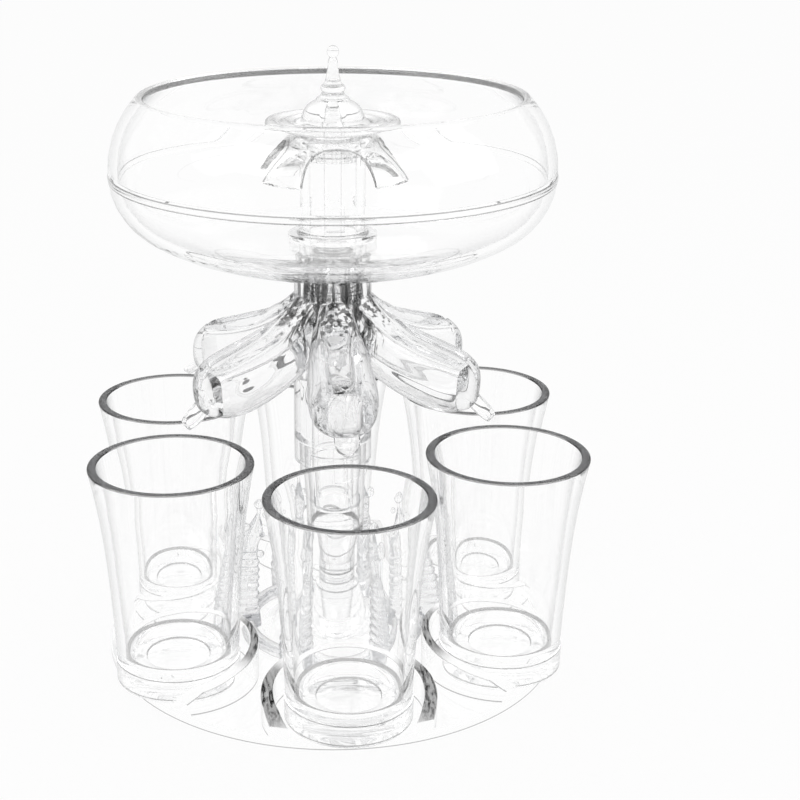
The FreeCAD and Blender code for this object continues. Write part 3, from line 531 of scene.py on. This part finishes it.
lathe("bowl_lower_shape", "bowl_lower", [
    (BOWL_BORE, BOWL_UNDERSIDE + SKIN_GAP),
    (30.0, BOWL_UNDERSIDE + SKIN_GAP, -0.0563),
    (51.5, 126.5, -0.128),
    (BOWL_OUTER, SHELL_LOW),
    (BOWL_INNER, SHELL_LOW, 0.128),
    (50.2, 128.74, 0.0563),
    (29.8, BOWL_FLOOR - SKIN_GAP),
    (BOWL_BORE, BOWL_FLOOR - SKIN_GAP),
], "bowl", BOWL_LOOK)
bowl = lathe("bowl_upper_shape", "bowl_upper", [
    (BOWL_OUTER, SHELL_HIGH, -0.1019),
    (53.2, 163.4, HALF_ROUND),
    (51.4, 161.53, 0.1019),
    (BOWL_INNER, SHELL_HIGH),
], "bowl", BOWL_LOOK)


def on_bowl_rim(middle, normal):
    """True on the half of the bowl's rounded rim that looks up and inwards, which takes painted
    shade.
    """
    inward = -(normal.x * middle.x + normal.y * middle.y) / math.hypot(middle.x, middle.y)
    return middle.z > 162.0 and inward > 0.72


second_look(bowl, BOWL_RIM_SHADE_LOOK, on_bowl_rim)

seam = lathe("seam_ring_shape", "bowl_seam_ring", [
    (SEAM_INNER, SEAM_LOW),
    (BOWL_OUTER, SEAM_LOW),
    (BOWL_OUTER + 0.1, SEAM_LOW + SEAM_LINE, -0.06),
    (BOWL_OUTER + 0.1, SEAM_HIGH - SEAM_LINE),
    (BOWL_OUTER, SEAM_HIGH),
    (SEAM_INNER, SEAM_HIGH),
], "bowl", BOWL_LOOK)


def on_seam_line(middle, normal):
    """True on the thin bands of painted shade along the seam ring's two outer edges."""
    low = SEAM_LOW + 0.01 < middle.z < SEAM_LOW + SEAM_LINE
    high = SEAM_HIGH - SEAM_LINE < middle.z < SEAM_HIGH - 0.01
    return low or high


second_look(seam, EDGE_SHADE_LOOK, on_seam_line)


# ---------------------------------------------------------------- base

DISC_RADIUS = 68.0
DISC_TOP = 3.0
DISC_ROUND = 0.6
HUB_TOP = 19.5
HUB_RADIUS = 8.65
HUB_FOOT = 21.4
SOCKET_RADIUS = 7.0
POCKET_BORE = 20.75
POCKET_WALL = 2.0
# how much thicker a pocket's wall gets at its two ends
END_SWELL = 1.6
# faces whose normal rises more than this are the flat of a pocket's top
TOP_SLOPE = 0.7
BACK_REACH = GLASS_CIRCLE - POCKET_BORE
# nothing nearer to the column's axis than this belongs to a pocket's wall
WALL_REACH = BACK_REACH - 4.0
# a pocket's sloping top: distance from the column's axis, height
POCKET_TOP = ((33.25, 14.0), (54.0, 11.7), (64.0, 9.7), (68.0, 6.2))


def wall_height(reach):
    """Height of a pocket's sloping top at a distance from the column's axis."""
    for (near, high), (far, low) in zip(POCKET_TOP, POCKET_TOP[1:]):
        if reach < far:
            return high + (low - high) * max(0.0, (reach - near) / (far - near))
    return POCKET_TOP[-1][1]


WALL_LIP = 0.35
WALL_STEPS = 96
EDGE_STEPS = 4


def wall_section():
    """Corners of a pocket wall's section: inset, share of the wall's thickness, drop.

    The drop is measured down from the sloping top; None and FOOT_LINE mark the wall's foot
    under the disc's top and the fine band of painted shade just above it.
    """
    section = [(0.0, 0.0, None), (0.0, 0.0, FOOT_LINE)]
    turns = [0.5 * math.pi * step / EDGE_STEPS for step in range(EDGE_STEPS + 1)]
    for turn in turns:
        section.append((WALL_LIP * (1 - math.cos(turn)), 0.0, WALL_LIP * (1 - math.sin(turn))))
    for turn in turns:
        section.append((-WALL_LIP * (1 - math.sin(turn)), 1.0, WALL_LIP * (1 - math.cos(turn))))
    return section + [(0.0, 1.0, FOOT_LINE), (0.0, 1.0, None)]


def add_pocket_wall(build, azimuth):
    """Sweep the wall's rounded section round one pocket, open towards the disc's edge."""
    section = wall_section()
    edge = DISC_RADIUS - 0.3
    rings = []
    for step in range(WALL_STEPS + 1):
        share = 2.0 * step / WALL_STEPS - 1.0
        wall = POCKET_WALL + END_SWELL * smooth_step(abs(share))
        ring = []
        for inset, outer, drop in section:
            radius = POCKET_BORE + inset + outer * wall
            limit = math.acos((GLASS_CIRCLE ** 2 + radius ** 2 - edge ** 2)
                              / (2.0 * GLASS_CIRCLE * radius))
            across = radius * math.sin(limit * share)
            outward = GLASS_CIRCLE - radius * math.cos(limit * share)
            if drop is None:
                height = DISC_TOP - 1.0
            elif drop == FOOT_LINE:
                height = DISC_TOP + FOOT_LINE
            else:
                height = wall_height(math.hypot(across, outward)) - drop
            spot = Matrix.Rotation(azimuth, 3, "Z") @ Vector((across, -outward, height))
            ring.append(build.verts.new(spot * MM))
        rings.append(ring)
    close_rings(build, rings)


def keep_modified(piece):
    """Replace the piece's mesh by what its modifiers make of it."""
    graph = bpy.context.evaluated_depsgraph_get()
    mesh = bpy.data.meshes.new_from_object(piece.evaluated_get(graph))
    piece.modifiers.clear()
    old = piece.data
    piece.data = mesh
    bpy.data.meshes.remove(old)


def cut_or_join(piece, tool, operation):
    """Combine two closed meshes and keep the result in the first piece."""
    change = piece.modifiers.new("combine", "BOOLEAN")
    change.object = tool
    change.operation = operation
    change.solver = "MANIFOLD"
    keep_modified(piece)
    bpy.data.objects.remove(tool)
    # the tool leaves an empty material slot behind
    while len(piece.data.materials) > 1:
        piece.data.materials.pop()


def drop_flat_pairs(piece):
    """Delete pairs of faces that share all their corners, which a cut can leave as scraps."""
    build = bmesh.new()
    build.from_mesh(piece.data)
    alike = {}
    for face in build.faces:
        alike.setdefault(frozenset(vertex.index for vertex in face.verts), []).append(face)
    scraps = [face for pair in alike.values() if len(pair) > 1 for face in pair]
    bmesh.ops.delete(build, geom=scraps, context="FACES")
    build.to_mesh(piece.data)
    build.free()


def loose_tool(name, build):
    """A mesh that only cuts or joins another and is then removed."""
    bmesh.ops.recalc_face_normals(build, faces=build.faces)
    return object_of(name, build)


base = lathe("base_shape", "base", [
    (SOCKET_RADIUS, 8.0),
    (SOCKET_RADIUS, HUB_TOP),
    (HUB_RADIUS, HUB_TOP),
    (HUB_RADIUS, HUB_TOP - 0.5, -0.13),
    (HUB_FOOT, DISC_TOP),
    (DISC_RADIUS - DISC_ROUND, DISC_TOP, -0.2),
    (DISC_RADIUS, DISC_TOP - DISC_ROUND),
    (DISC_RADIUS, DISC_ROUND + 0.3),
    (DISC_RADIUS, DISC_ROUND, -0.2),
    (DISC_RADIUS - DISC_ROUND, 0.0),
    (HUB_FOOT, 0.0, -0.13),
    (HUB_RADIUS, 5.6),
    (0.0, 5.6),
    (0.0, 8.0),
], "stand", BASE_LOOK)
walls = bmesh.new()
for number in range(GLASS_COUNT):
    add_pocket_wall(walls, STEP_ANGLE * number)
cut_or_join(base, loose_tool("pocket_walls", walls), "UNION")
smooth_up_to(base, BASE_SHARP)


def on_pocket_top(middle, normal):
    """True on the flat of the pocket walls' sloping tops."""
    reach = math.hypot(middle.x, middle.y)
    return reach > WALL_REACH and middle.z > DISC_TOP + 1.0 and normal.z > TOP_SLOPE


def on_base_line(middle, normal):
    """True on the thin bands of painted shade that draw the walls' edges and feet and the disc's
    lower edge.
    """
    reach = math.hypot(middle.x, middle.y)
    if reach > DISC_RADIUS - 0.1 and abs(normal.z) < 0.2:
        return DISC_ROUND < middle.z < DISC_ROUND + 0.3
    if reach < WALL_REACH:
        return False
    foot = DISC_TOP < middle.z < DISC_TOP + FOOT_LINE and abs(normal.z) < 0.2
    edge = middle.z > DISC_TOP + 1.0 and 0.2 < normal.z < TOP_SLOPE
    return foot or edge


def on_hub_line(middle, normal):
    """True on the thin band of painted shade under the hub's upper edge."""
    high = HUB_TOP - 0.6 < middle.z < HUB_TOP - 0.01
    return high and math.hypot(middle.x, middle.y) > HUB_RADIUS - 0.35


def pocket_painted_shade(spot):
    """How much painted shade a pocket's top takes: most where it runs fore and aft, least at the
    object's middle.
    """
    best = POCKET_WALL + END_SWELL
    shade = 0.0
    for number in range(GLASS_COUNT):
        centre = Vector(pocket_centre(number))
        away = spot.xy - centre
        miss = abs(away.length - POCKET_BORE - 0.5 * POCKET_WALL)
        if miss > best:
            continue
        best = miss
        across = away.x / away.length
        shade = smooth_step((abs(across) - 0.72) / 0.22)
        if centre.x * across > 1.0:
            shade *= 0.3
        if centre.y > 0.0:
            shade *= 0.4
    return shade * smooth_step((abs(spot.x) - 14.0) / 5.0)


# painted shade: the dark marks that bent light shows on the pocket tops, strongest on the front
# pockets
painted_shade = base.data.attributes.new("painted_shade", "FLOAT", "POINT")
for index, vertex in enumerate(base.data.vertices):
    painted_shade.data[index].value = pocket_painted_shade(vertex.co / MM)
second_look(base, POCKET_TOP_LOOK, on_pocket_top)
second_look(base, EDGE_SHADE_LOOK, on_base_line)
second_look(base, EDGE_SHADE_LOOK, on_hub_line)


# ---------------------------------------------------------------- guard over the standpipe

BEAD_RADIUS = 0.28
BEAD_STEPS = 48
BEAD_SIDES = 8
GUARD_BORE = 9.5
GUARD_FOOT = 141.6
GUARD_CROWN = 151.4
GUARD_REACH = 22.0
GUARD_NECK = 11.2
# half of an arch, from its foot to its crown: distance from its middle line, height
GUARD_ARCH = (
    (10.0, 140.6),
    (9.9, 142.0),
    (9.3, 144.5),
    (8.2, 146.8),
    (6.4, 148.9),
    (3.6, 150.4),
    (0.0, 150.9),
)
guard = lathe("guard_shape", "arched_guard", [
    (GUARD_BORE, 148.4),
    (11.0, 148.0, 0.12),
    (20.6, GUARD_FOOT),
    (GUARD_REACH, GUARD_FOOT, -0.12),
    (GUARD_NECK, GUARD_CROWN, -0.2),
    (GUARD_BORE, 151.8),
], "bowl", KNOB_LOOK)


def guard_reach(level):
    """Radius of the guard's outer skin at a height."""
    share = min(max((level - GUARD_FOOT) / (GUARD_CROWN - GUARD_FOOT), 0.0), 1.0)
    return GUARD_REACH - 10.8 * share ** 1.35


def both_sides(half):
    """A whole arch from its half, whose last point is the crown."""
    return list(half) + [(-x, z) for x, z in half[-2::-1]]


def add_bead(build, spin):
    """Thin rounded lip along one arch, on the guard's skin, drawn with painted shade."""
    loop = both_sides(GUARD_ARCH[1:])
    spots = []
    for step in range(BEAD_STEPS + 1):
        x, z = spline(loop, step / BEAD_STEPS)
        spots.append(Vector((x, -math.sqrt(max(guard_reach(z) ** 2 - x * x, 0.0)), z)))
    rings = []
    for index, spot in enumerate(spots):
        following = spots[min(index + 1, BEAD_STEPS)]
        ahead = (following - spots[max(index - 1, 0)]).normalized()
        out = Vector((spot.x, spot.y, 6.0)).normalized()
        side = ahead.cross(out).normalized()
        ring = []
        for column in range(BEAD_SIDES):
            angle = 2.0 * math.pi * column / BEAD_SIDES
            point = spot + (side * math.cos(angle) + out * math.sin(angle)) * BEAD_RADIUS
            ring.append(build.verts.new(spin @ point * MM))
        rings.append(ring)
    close_rings(build, rings)


for quarter in range(2):
    arch = bmesh.new()
    turn = Matrix.Rotation(0.5 * math.pi * quarter, 3, "Z")
    sides = []
    for y in (-30.0, 30.0):
        corners = both_sides(GUARD_ARCH)
        sides.append([arch.verts.new(turn @ Vector((x, y, z)) * MM) for x, z in corners])
    close_rings(arch, sides)
    cut_or_join(guard, loose_tool("guard_arch", arch), "DIFFERENCE")
smooth_up_to(guard, SHARP_ANGLE)


def on_arch_edge(middle, normal):
    """True on the faces that the arches cut through the guard's wall, which take painted shade."""
    around = (normal.x * middle.y - normal.y * middle.x) / math.hypot(middle.x, middle.y)
    return abs(around) > 0.2 or (normal.z < -0.95 and middle.z > 149.0)


second_look(guard, EDGE_SHADE_LOOK, on_arch_edge)
beads = bmesh.new()
for quarter in range(4):
    add_bead(beads, Matrix.Rotation(0.5 * math.pi * quarter, 3, "Z"))
bmesh.ops.recalc_face_normals(beads, faces=beads.faces)
# the beads wear the dark edge material, painted shade that outlines the arches
beads = new_piece("guard_beads", beads, "bowl", EDGE_SHADE_LOOK)
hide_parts("arched_guard")


# ---------------------------------------------------------------- column and valve

WASHER_BORE = 8.6
WASHER_RADIUS = 12.4
WASHER_TOP = BOWL_FLOOR + 0.8
STEM_BORE = 2.5
DISC_LOW = 154.8
DISC_VALLEY = 156.35
DISC_BOSS = 157.35
KNOB_LOW = 157.4
KNOB_HOLE_TOP = 161.7
KNOB_TOP = 176.4
STEM_RADIUS = 2.4
STEM_LOW = 112.1
STEM_TOP = 161.5
STEM_EDGE = 0.6

lathe("floor_washer_shape", "floor_washer", [
    (WASHER_BORE, BOWL_FLOOR + SKIN_GAP),
    (WASHER_RADIUS, BOWL_FLOOR + SKIN_GAP),
    (WASHER_RADIUS, WASHER_TOP - SKIN_GAP),
    (WASHER_BORE, WASHER_TOP - SKIN_GAP),
], "bowl", PIPE_LOOK)
lathe("ripple_disc_shape", "ripple_disc", [
    (STEM_BORE, DISC_LOW),
    (8.3, DISC_LOW, 0.05),
    (16.65, 154.0, -0.22),
    (18.5, 155.87, -0.3),
    (17.2, 157.0, -0.21),
    (15.9, DISC_VALLEY, 0.21),
    (14.06, DISC_VALLEY, -0.21),
    (12.2, DISC_VALLEY, 0.21),
    (10.36, DISC_VALLEY),
    (8.6, DISC_BOSS),
    (STEM_BORE, DISC_BOSS),
], "valve", KNOB_LOOK)
lathe("drop_knob_shape", "drop_knob", [
    (STEM_BORE, KNOB_LOW),
    (8.6, KNOB_LOW, -0.14),
    (4.8, 161.96),
    (4.3, 162.8, 0.12),
    (2.9, 164.24, -0.28),
    (2.84, 166.14, 0.12),
    (1.98, 167.85, 0.03),
    (1.29, 172.6, 0.05),
    (0.91, 173.36, -0.14),
    (1.65, 174.75, -0.19),
    (0.25, KNOB_TOP),
    (0.0, KNOB_TOP),
    (0.0, KNOB_HOLE_TOP),
    (STEM_BORE, KNOB_HOLE_TOP),
], "valve", KNOB_LOOK)
lathe("valve_stem_shape", "valve_stem", [
    (0.0, STEM_LOW),
    (STEM_RADIUS - STEM_EDGE, STEM_LOW),
    (STEM_RADIUS, STEM_LOW + STEM_EDGE),
    (STEM_RADIUS, STEM_TOP - STEM_EDGE),
    (STEM_RADIUS - STEM_EDGE, STEM_TOP),
    (0.0, STEM_TOP),
], "valve", KNOB_LOOK)


# ---------------------------------------------------------------- distributor

ARM_SECTIONS = (
    # reach, height of the middle, tilt, half width, rise above it, depth below it
    (5.0, 107.0, 66.0, 4.6, 5.4, 6.0),
    (10.2, 99.4, 50.0, 6.6, 7.2, 7.8),
    (16.2, 94.8, 33.0, 7.9, 8.0, 8.6),
    (23.6, 91.2, 18.0, 8.9, 8.7, 9.2),
    (31.0, 88.7, 10.0, 9.5, 8.9, 9.4),
    (37.0, 87.3, 6.0, 9.3, 8.4, 8.8),
    (41.0, 86.6, 2.0, 8.0, 7.0, 7.2),
    (43.1, 86.2, 0.0, 5.8, 5.2, 5.6),
    (43.9, 86.0, 0.0, 2.2, 2.4, 2.6),
)
ARM_ROUND = 56
ARM_STEPS = 44
ARM_POWER = 2.35
TRAY_HALF = 4.4
TRAY_END = 40.2
TRAY_DEPTH = 1.9
CHANNEL_STEPS = 24
CHANNEL_POWER = 5.0
CHANNEL_HALF = 4.2
# how far a channel ends before its arm does, and how far it lies below the arm's middle
CHANNEL_SHORT = 1.6
CHANNEL_DROP = 0.4
# the middle line of a pouring lip: reach, height
LIP_PATH = ((40.5, 84.6), (43.6, 82.6), (46.4, 80.3), (49.1, 78.0))
LIP_HALF = 3.4
LIP_STEPS = 22
LIP_COLUMNS = 16
LIP_DISH = 1.9
LIP_THICK = 0.45
# share of the lip's length that its rounded tip takes
LIP_TIP = 0.38


def rounded(angle, power):
    """Point of a superellipse of half sizes 1."""
    c = math.cos(angle)
    s = math.sin(angle)
    return (math.copysign(abs(c) ** (2.0 / power), c), math.copysign(abs(s) ** (2.0 / power), s))


def arm_ring(build, spin, section, power, tray):
    """One cross-section of an arm, with the shallow tray along its top."""
    reach, level, tilt, half, rise, depth = section
    lean = math.radians(tilt)
    ring = []
    for step in range(ARM_ROUND):
        across, up = rounded(2.0 * math.pi * step / ARM_ROUND, power)
        side = half * across
        lift = (rise if up > 0.0 else depth) * up
        if tray and up > 0.0:
            past = max(0.0, reach - (TRAY_END - TRAY_HALF))
            width = math.sqrt(max(0.0, TRAY_HALF ** 2 - past ** 2))
            start = smooth_step((reach - 13.0) / 10.0)
            lift -= TRAY_DEPTH * start * up * smooth_step((width - abs(side)) / 1.1 + 0.5)
        spot = Vector((side, -(reach + lift * math.sin(lean)), level + lift * math.cos(lean)))
        ring.append(build.verts.new(spin @ spot * MM))
    return ring


def add_arm(build, spin):
    """One solid arm, from inside the bell to its blunt end."""
    rings = []
    for step in range(ARM_STEPS + 1):
        section = spline(ARM_SECTIONS, step / ARM_STEPS)
        rings.append(arm_ring(build, spin, section, ARM_POWER, True))
    close_rings(build, rings)


def add_channel(build, spin):
    """The closed way for the drink inside an arm."""
    rings = []
    for step in range(CHANNEL_STEPS + 1):
        place = step / CHANNEL_STEPS
        reach, level, tilt, half, rise, depth = spline(ARM_SECTIONS[:-2], place)
        above = min(4.6, rise - 2.6)
        below = min(5.6, depth - 2.2)
        short = reach - CHANNEL_SHORT * step / CHANNEL_STEPS
        section = (short, level - CHANNEL_DROP, tilt, CHANNEL_HALF, above, below)
        rings.append(arm_ring(build, spin, section, CHANNEL_POWER, False))
    close_rings(build, rings)


def add_lip(build, spin):
    """Thin tongue with raised edges and a rounded tip, under an arm's blunt end."""
    rings = []
    for step in range(LIP_STEPS + 1):
        share = step / LIP_STEPS
        reach, level = spline(LIP_PATH, share)
        before = Vector(spline(LIP_PATH, share - 0.02))
        ahead = Vector(spline(LIP_PATH, min(share + 0.02, 1.0))) - before
        normal = Vector((-ahead.y, ahead.x)).normalized()
        past = max(0.0, (share - (1.0 - LIP_TIP)) / LIP_TIP)
        half = LIP_HALF * math.sqrt(max(0.004, 1.0 - past ** 2))
        over = []
        under = []
        for column in range(LIP_COLUMNS + 1):
            across = 2.0 * column / LIP_COLUMNS - 1.0
            dish = LIP_DISH * (across ** 2 - 1.0) * (1.0 - 0.3 * past)
            for row, thick in ((over, LIP_THICK), (under, -LIP_THICK)):
                out = Vector((reach, level)) + normal * (dish + thick)
                row.append(build.verts.new(spin @ Vector((half * across, -out.x, out.y)) * MM))
        rings.append(over + under[::-1])
    close_rings(build, rings)


def six_of(name, add):
    """What add makes, once towards each glass, as one tool."""
    build = bmesh.new()
    for number in range(GLASS_COUNT):
        add(build, Matrix.Rotation(STEP_ANGLE * number, 3, "Z"))
    return loose_tool(name, build)


RIB_COUNT = 18
RIB_HEIGHT = 0.5
PLUG_LOW = 43.6
PLUG_BORE = 6.07
PLUG_RADIUS = 8.27
POST_TOP = 64.2
SLEEVE_BORE = 9.78
SLEEVE_LOW = 57.5
NECK_TOP = 113.5
NECK_BORE = 8.3
# the hollow in the bell that the six channels leave from
CHAMBER_RADIUS = 9.0
CHAMBER_LOW = 84.0
CHAMBER_HIGH = 105.0
CHAMBER_TOP = 106.0


def flute(radius, level, angle):
    """Extra radius of the bell's ribs."""
    start = smooth_step((level - 84.0) / 6.0) * smooth_step((108.6 - level) / 3.0)
    return RIB_HEIGHT * start * math.cos(RIB_COUNT * angle) if radius > 9.9 else 0.0


core = new_piece("distributor_shape", lathe_mesh([
    (PLUG_BORE, PLUG_LOW),
    (PLUG_RADIUS, PLUG_LOW),
    (PLUG_RADIUS, POST_TOP + SKIN_GAP),
    (SLEEVE_BORE, POST_TOP + SKIN_GAP),
    (SLEEVE_BORE, SLEEVE_LOW),
    (10.7, SLEEVE_LOW),
    (11.3, 58.1),
    (11.3, 80.0),
    (11.6, 83.0),
    (12.1, 86.5),
    (12.5, 90.0),
    (12.3, 93.0),
    (11.9, 96.0),
    (11.5, 99.0),
    (11.1, 102.0),
    (10.8, 105.0),
    (10.5, 107.8),
    (11.0, 108.8),
    (11.0, 112.9),
    (10.4, NECK_TOP),
    (NECK_BORE, NECK_TOP),
    (NECK_BORE, CHAMBER_TOP),
    (CHAMBER_RADIUS, CHAMBER_HIGH),
    (CHAMBER_RADIUS, CHAMBER_LOW),
    (PLUG_BORE, CHAMBER_LOW),
], swell=flute), "distributor", ARM_LOOK)
cut_or_join(core, six_of("arms", add_arm), "UNION")
cut_or_join(core, six_of("lips", add_lip), "UNION")
cut_or_join(core, six_of("channels", add_channel), "DIFFERENCE")
chamber = lathe_mesh([
    (0.0, CHAMBER_LOW),
    (CHAMBER_RADIUS, CHAMBER_LOW),
    (CHAMBER_RADIUS, CHAMBER_HIGH),
    (NECK_BORE, CHAMBER_TOP),
    (NECK_BORE, NECK_TOP + 0.5),
    (0.0, NECK_TOP + 0.5),
])
cut_or_join(core, loose_tool("chamber", chamber), "DIFFERENCE")
drop_flat_pairs(core)
smooth_up_to(core, BELL_SHARP)
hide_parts("distributor_lower", "distributor_upper")


# ---------------------------------------------------------------- splash crown

FINGER_SECTIONS = (
    # height, reach, half length outward, half thickness
    (3.1, 27.5, 5.6, 3.0),
    (9.0, 27.9, 5.5, 2.9),
    (15.0, 27.6, 4.9, 2.5),
    (21.0, 26.6, 4.2, 2.2),
    (26.5, 25.6, 3.2, 1.8),
    (30.0, 24.8, 2.3, 1.5),
    (33.5, 24.0, 2.9, 1.9),
    (37.0, 23.1, 1.9, 1.3),
    (39.6, 22.5, 0.8, 0.7),
    (41.6, 22.1, 0.7, 0.7),
    (43.4, 22.0, 1.7, 1.7),
    (45.0, 22.0, 0.5, 0.5),
)
DROPS = (
    # height, reach, to the side, radius
    (36.5, 26.3, 1.6, 1.35),
    (31.0, 27.4, -1.9, 1.1),
    (39.0, 20.2, -1.3, 1.0),
    (27.5, 21.9, 1.7, 1.2),
    (34.0, 21.3, 2.2, 0.9),
)


FINGER_STEPS = 84
FINGER_ROUND = 28
RIPPLE_HEIGHT = 0.45
RIPPLE_LENGTH = 2.6


def add_finger(build, spin, turn):
    """One leaning finger of the splash, rippled below and beaded above, with small drops."""
    rings = []
    for step in range(FINGER_STEPS + 1):
        level, reach, half, thick = spline(FINGER_SECTIONS, step / FINGER_STEPS)
        fade = smooth_step((level - 5.0) / 5.0) * smooth_step((30.0 - level) / 6.0)
        ring = []
        for column in range(FINGER_ROUND):
            angle = 2.0 * math.pi * column / FINGER_ROUND
            wave = math.cos(2.0 * math.pi * level / RIPPLE_LENGTH + angle + turn)
            swell = RIPPLE_HEIGHT * fade * wave
            out = reach + (half + swell) * math.cos(angle)
            side = (thick + swell) * math.sin(angle)
            ring.append(build.verts.new(spin @ Vector((side, -out, level)) * MM))
        rings.append(ring)
    close_rings(build, rings)
    for level, reach, side, radius in DROPS:
        made = bmesh.ops.create_icosphere(build, subdivisions=3, radius=radius * MM)
        middle = spin @ Vector((side * math.cos(turn), -reach, level + 0.6 * math.sin(turn))) * MM
        bmesh.ops.translate(build, verts=made["verts"], vec=middle)


def melt(piece, voxel, rounds):
    """Fuse overlapping closed meshes into one skin and soften it."""
    fuse = piece.modifiers.new("fuse", "REMESH")
    fuse.mode = "VOXEL"
    fuse.voxel_size = voxel * MM
    soften = piece.modifiers.new("soften", "SMOOTH")
    soften.factor = 0.5
    soften.iterations = rounds
    keep_modified(piece)


CROWN_LOW = 3.1
CROWN_TOP = 5.0
CROWN_INNER = 24.0
CROWN_OUTER = 28.0
crown = lathe_mesh([
    (CROWN_INNER, CROWN_LOW),
    (CROWN_INNER, CROWN_TOP, 0.3),
    (CROWN_OUTER, CROWN_TOP),
    (CROWN_OUTER, CROWN_LOW),
])
for number in range(GLASS_COUNT):
    add_finger(crown, Matrix.Rotation(STEP_ANGLE * (number + 0.5), 3, "Z"), 1.7 * number)
crown = new_piece("splash_crown_shape", crown, "stand", CROWN_LOOK)
melt(crown, 0.35, 4)
smooth_up_to(crown, ALL_SMOOTH)
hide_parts("splash_crown")


# ---------------------------------------------------------------- CAD nodes that stay visible

NODE_LOOKS = {
    "post": POST_LOOK,
    "standpipe": PIPE_LOOK,
    "pipe_nut": PIPE_LOOK,
    "guide_collar": KNOB_LOOK,
    "valve_plug": KNOB_LOOK,
    "post_seal": SEAL_LOOK,
    "neck_seal": SEAL_LOOK,
    "plug_seal": SEAL_LOOK,
}
for name, look in NODE_LOOKS.items():
    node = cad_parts[name]
    node.data.materials.clear()
    node.data.materials.append(look)


# ---------------------------------------------------------------- stage, light and camera

def background_rays(tree):
    """1 for rays from the camera, from gloss and through glass, else 0."""
    rays = tree.nodes.new("ShaderNodeLightPath")
    seen = rays.outputs["Is Camera Ray"]
    for kind in ("Is Glossy Ray", "Is Transmission Ray"):
        seen = math_node(tree, "MAXIMUM", seen, rays.outputs[kind])
    return seen


FLOOR_RADIUS = 6.0
# how much of the floor shows as bare white to the eye; the rest is lit and shaded
FLOOR_GLOW = 0.94
ROOM_STRENGTH = 0.75


def floor_look():
    """Pale matt floor that shows as white background, with a trace of the object's shadow."""
    material = bpy.data.materials.new("floor_white")
    material.use_nodes = True
    tree = material.node_tree
    shader = tree.nodes["Principled BSDF"]
    shader.inputs["Base Color"].default_value = (0.93, 0.93, 0.93, 1.0)
    shader.inputs["Roughness"].default_value = 0.9
    shader.inputs["Specular IOR Level"].default_value = 0.0
    glow = tree.nodes.new("ShaderNodeEmission")
    share = math_node(tree, "MULTIPLY", background_rays(tree), FLOOR_GLOW)
    mix = tree.nodes.new("ShaderNodeMixShader")
    tree.links.new(share, mix.inputs["Fac"])
    tree.links.new(shader.outputs["BSDF"], mix.inputs[1])
    tree.links.new(glow.outputs["Emission"], mix.inputs[2])
    tree.links.new(mix.outputs["Shader"], tree.nodes["Material Output"].inputs["Surface"])
    return material


OBJECT_MIDDLE = Vector((0.0, 0.0, 0.08))


def add_lamp(name, power, size, place):
    """Square soft lamp that faces the middle of the object; size and place in metres."""
    lamp = bpy.data.lights.new(name, "AREA")
    lamp.energy = power
    lamp.size = size
    holder = bpy.data.objects.new(name, lamp)
    holder.location = place
    aim = OBJECT_MIDDLE - holder.location
    holder.rotation_euler = aim.to_track_quat("-Z", "Y").to_euler()
    bpy.context.scene.collection.objects.link(holder)


floor_build = bmesh.new()
bmesh.ops.create_circle(floor_build, cap_ends=True, segments=96, radius=FLOOR_RADIUS)
floor = object_of("floor", floor_build)
floor.data.materials.append(floor_look())

world = bpy.data.worlds.new("studio")
bpy.context.scene.world = world
world.use_nodes = True
tree = world.node_tree
backdrop = tree.nodes["Background"]
backdrop.inputs["Color"].default_value = (*WHITE, 1.0)
room = tree.nodes.new("ShaderNodeBackground")
room.inputs["Strength"].default_value = ROOM_STRENGTH
mix = tree.nodes.new("ShaderNodeMixShader")
tree.links.new(background_rays(tree), mix.inputs["Fac"])
tree.links.new(room.outputs["Background"], mix.inputs[1])
tree.links.new(backdrop.outputs["Background"], mix.inputs[2])
tree.links.new(mix.outputs["Shader"], tree.nodes["World Output"].inputs["Surface"])
add_lamp("key", 3.0, 0.6, (-0.7, -0.6, 0.9))
add_lamp("fill", 1.5, 0.8, (0.9, -0.4, 0.7))

# thick clear pieces stay black inside unless light may bounce often enough to leave them
LIGHT_BOUNCES = 64
scene = bpy.context.scene
scene.view_settings.view_transform = "Standard"
scene.cycles.max_bounces = LIGHT_BOUNCES
scene.cycles.transmission_bounces = LIGHT_BOUNCES
scene.cycles.glossy_bounces = LIGHT_BOUNCES

# the camera's place and pitch, fitted to points on the photograph
CAMERA_SIDE = math.radians(4.64)
CAMERA_REACH = 420.94
CAMERA_HEIGHT = 227.12
CAMERA_PITCH = 0.3711
# in pixels of the photograph
PICTURE_SIZE = 800.0
FOCAL_LENGTH = 1536.7
PICTURE_CENTRE = (332.86, 439.56)
SENSOR_WIDTH = 36.0
camera_data = bpy.data.cameras.new("camera")
camera = bpy.data.objects.new("camera", camera_data)
scene.collection.objects.link(camera)
scene.camera = camera
camera_data.sensor_width = SENSOR_WIDTH
camera_data.lens = SENSOR_WIDTH * FOCAL_LENGTH / PICTURE_SIZE
camera_data.shift_x = (PICTURE_SIZE / 2 - PICTURE_CENTRE[0]) / PICTURE_SIZE
camera_data.shift_y = (PICTURE_CENTRE[1] - PICTURE_SIZE / 2) / PICTURE_SIZE
camera.location = Vector((-CAMERA_REACH * math.sin(CAMERA_SIDE) * MM,
                          -CAMERA_REACH * math.cos(CAMERA_SIDE) * MM,
                          CAMERA_HEIGHT * MM))
camera.rotation_euler = (math.pi / 2 - CAMERA_PITCH, 0.0, -CAMERA_SIDE)
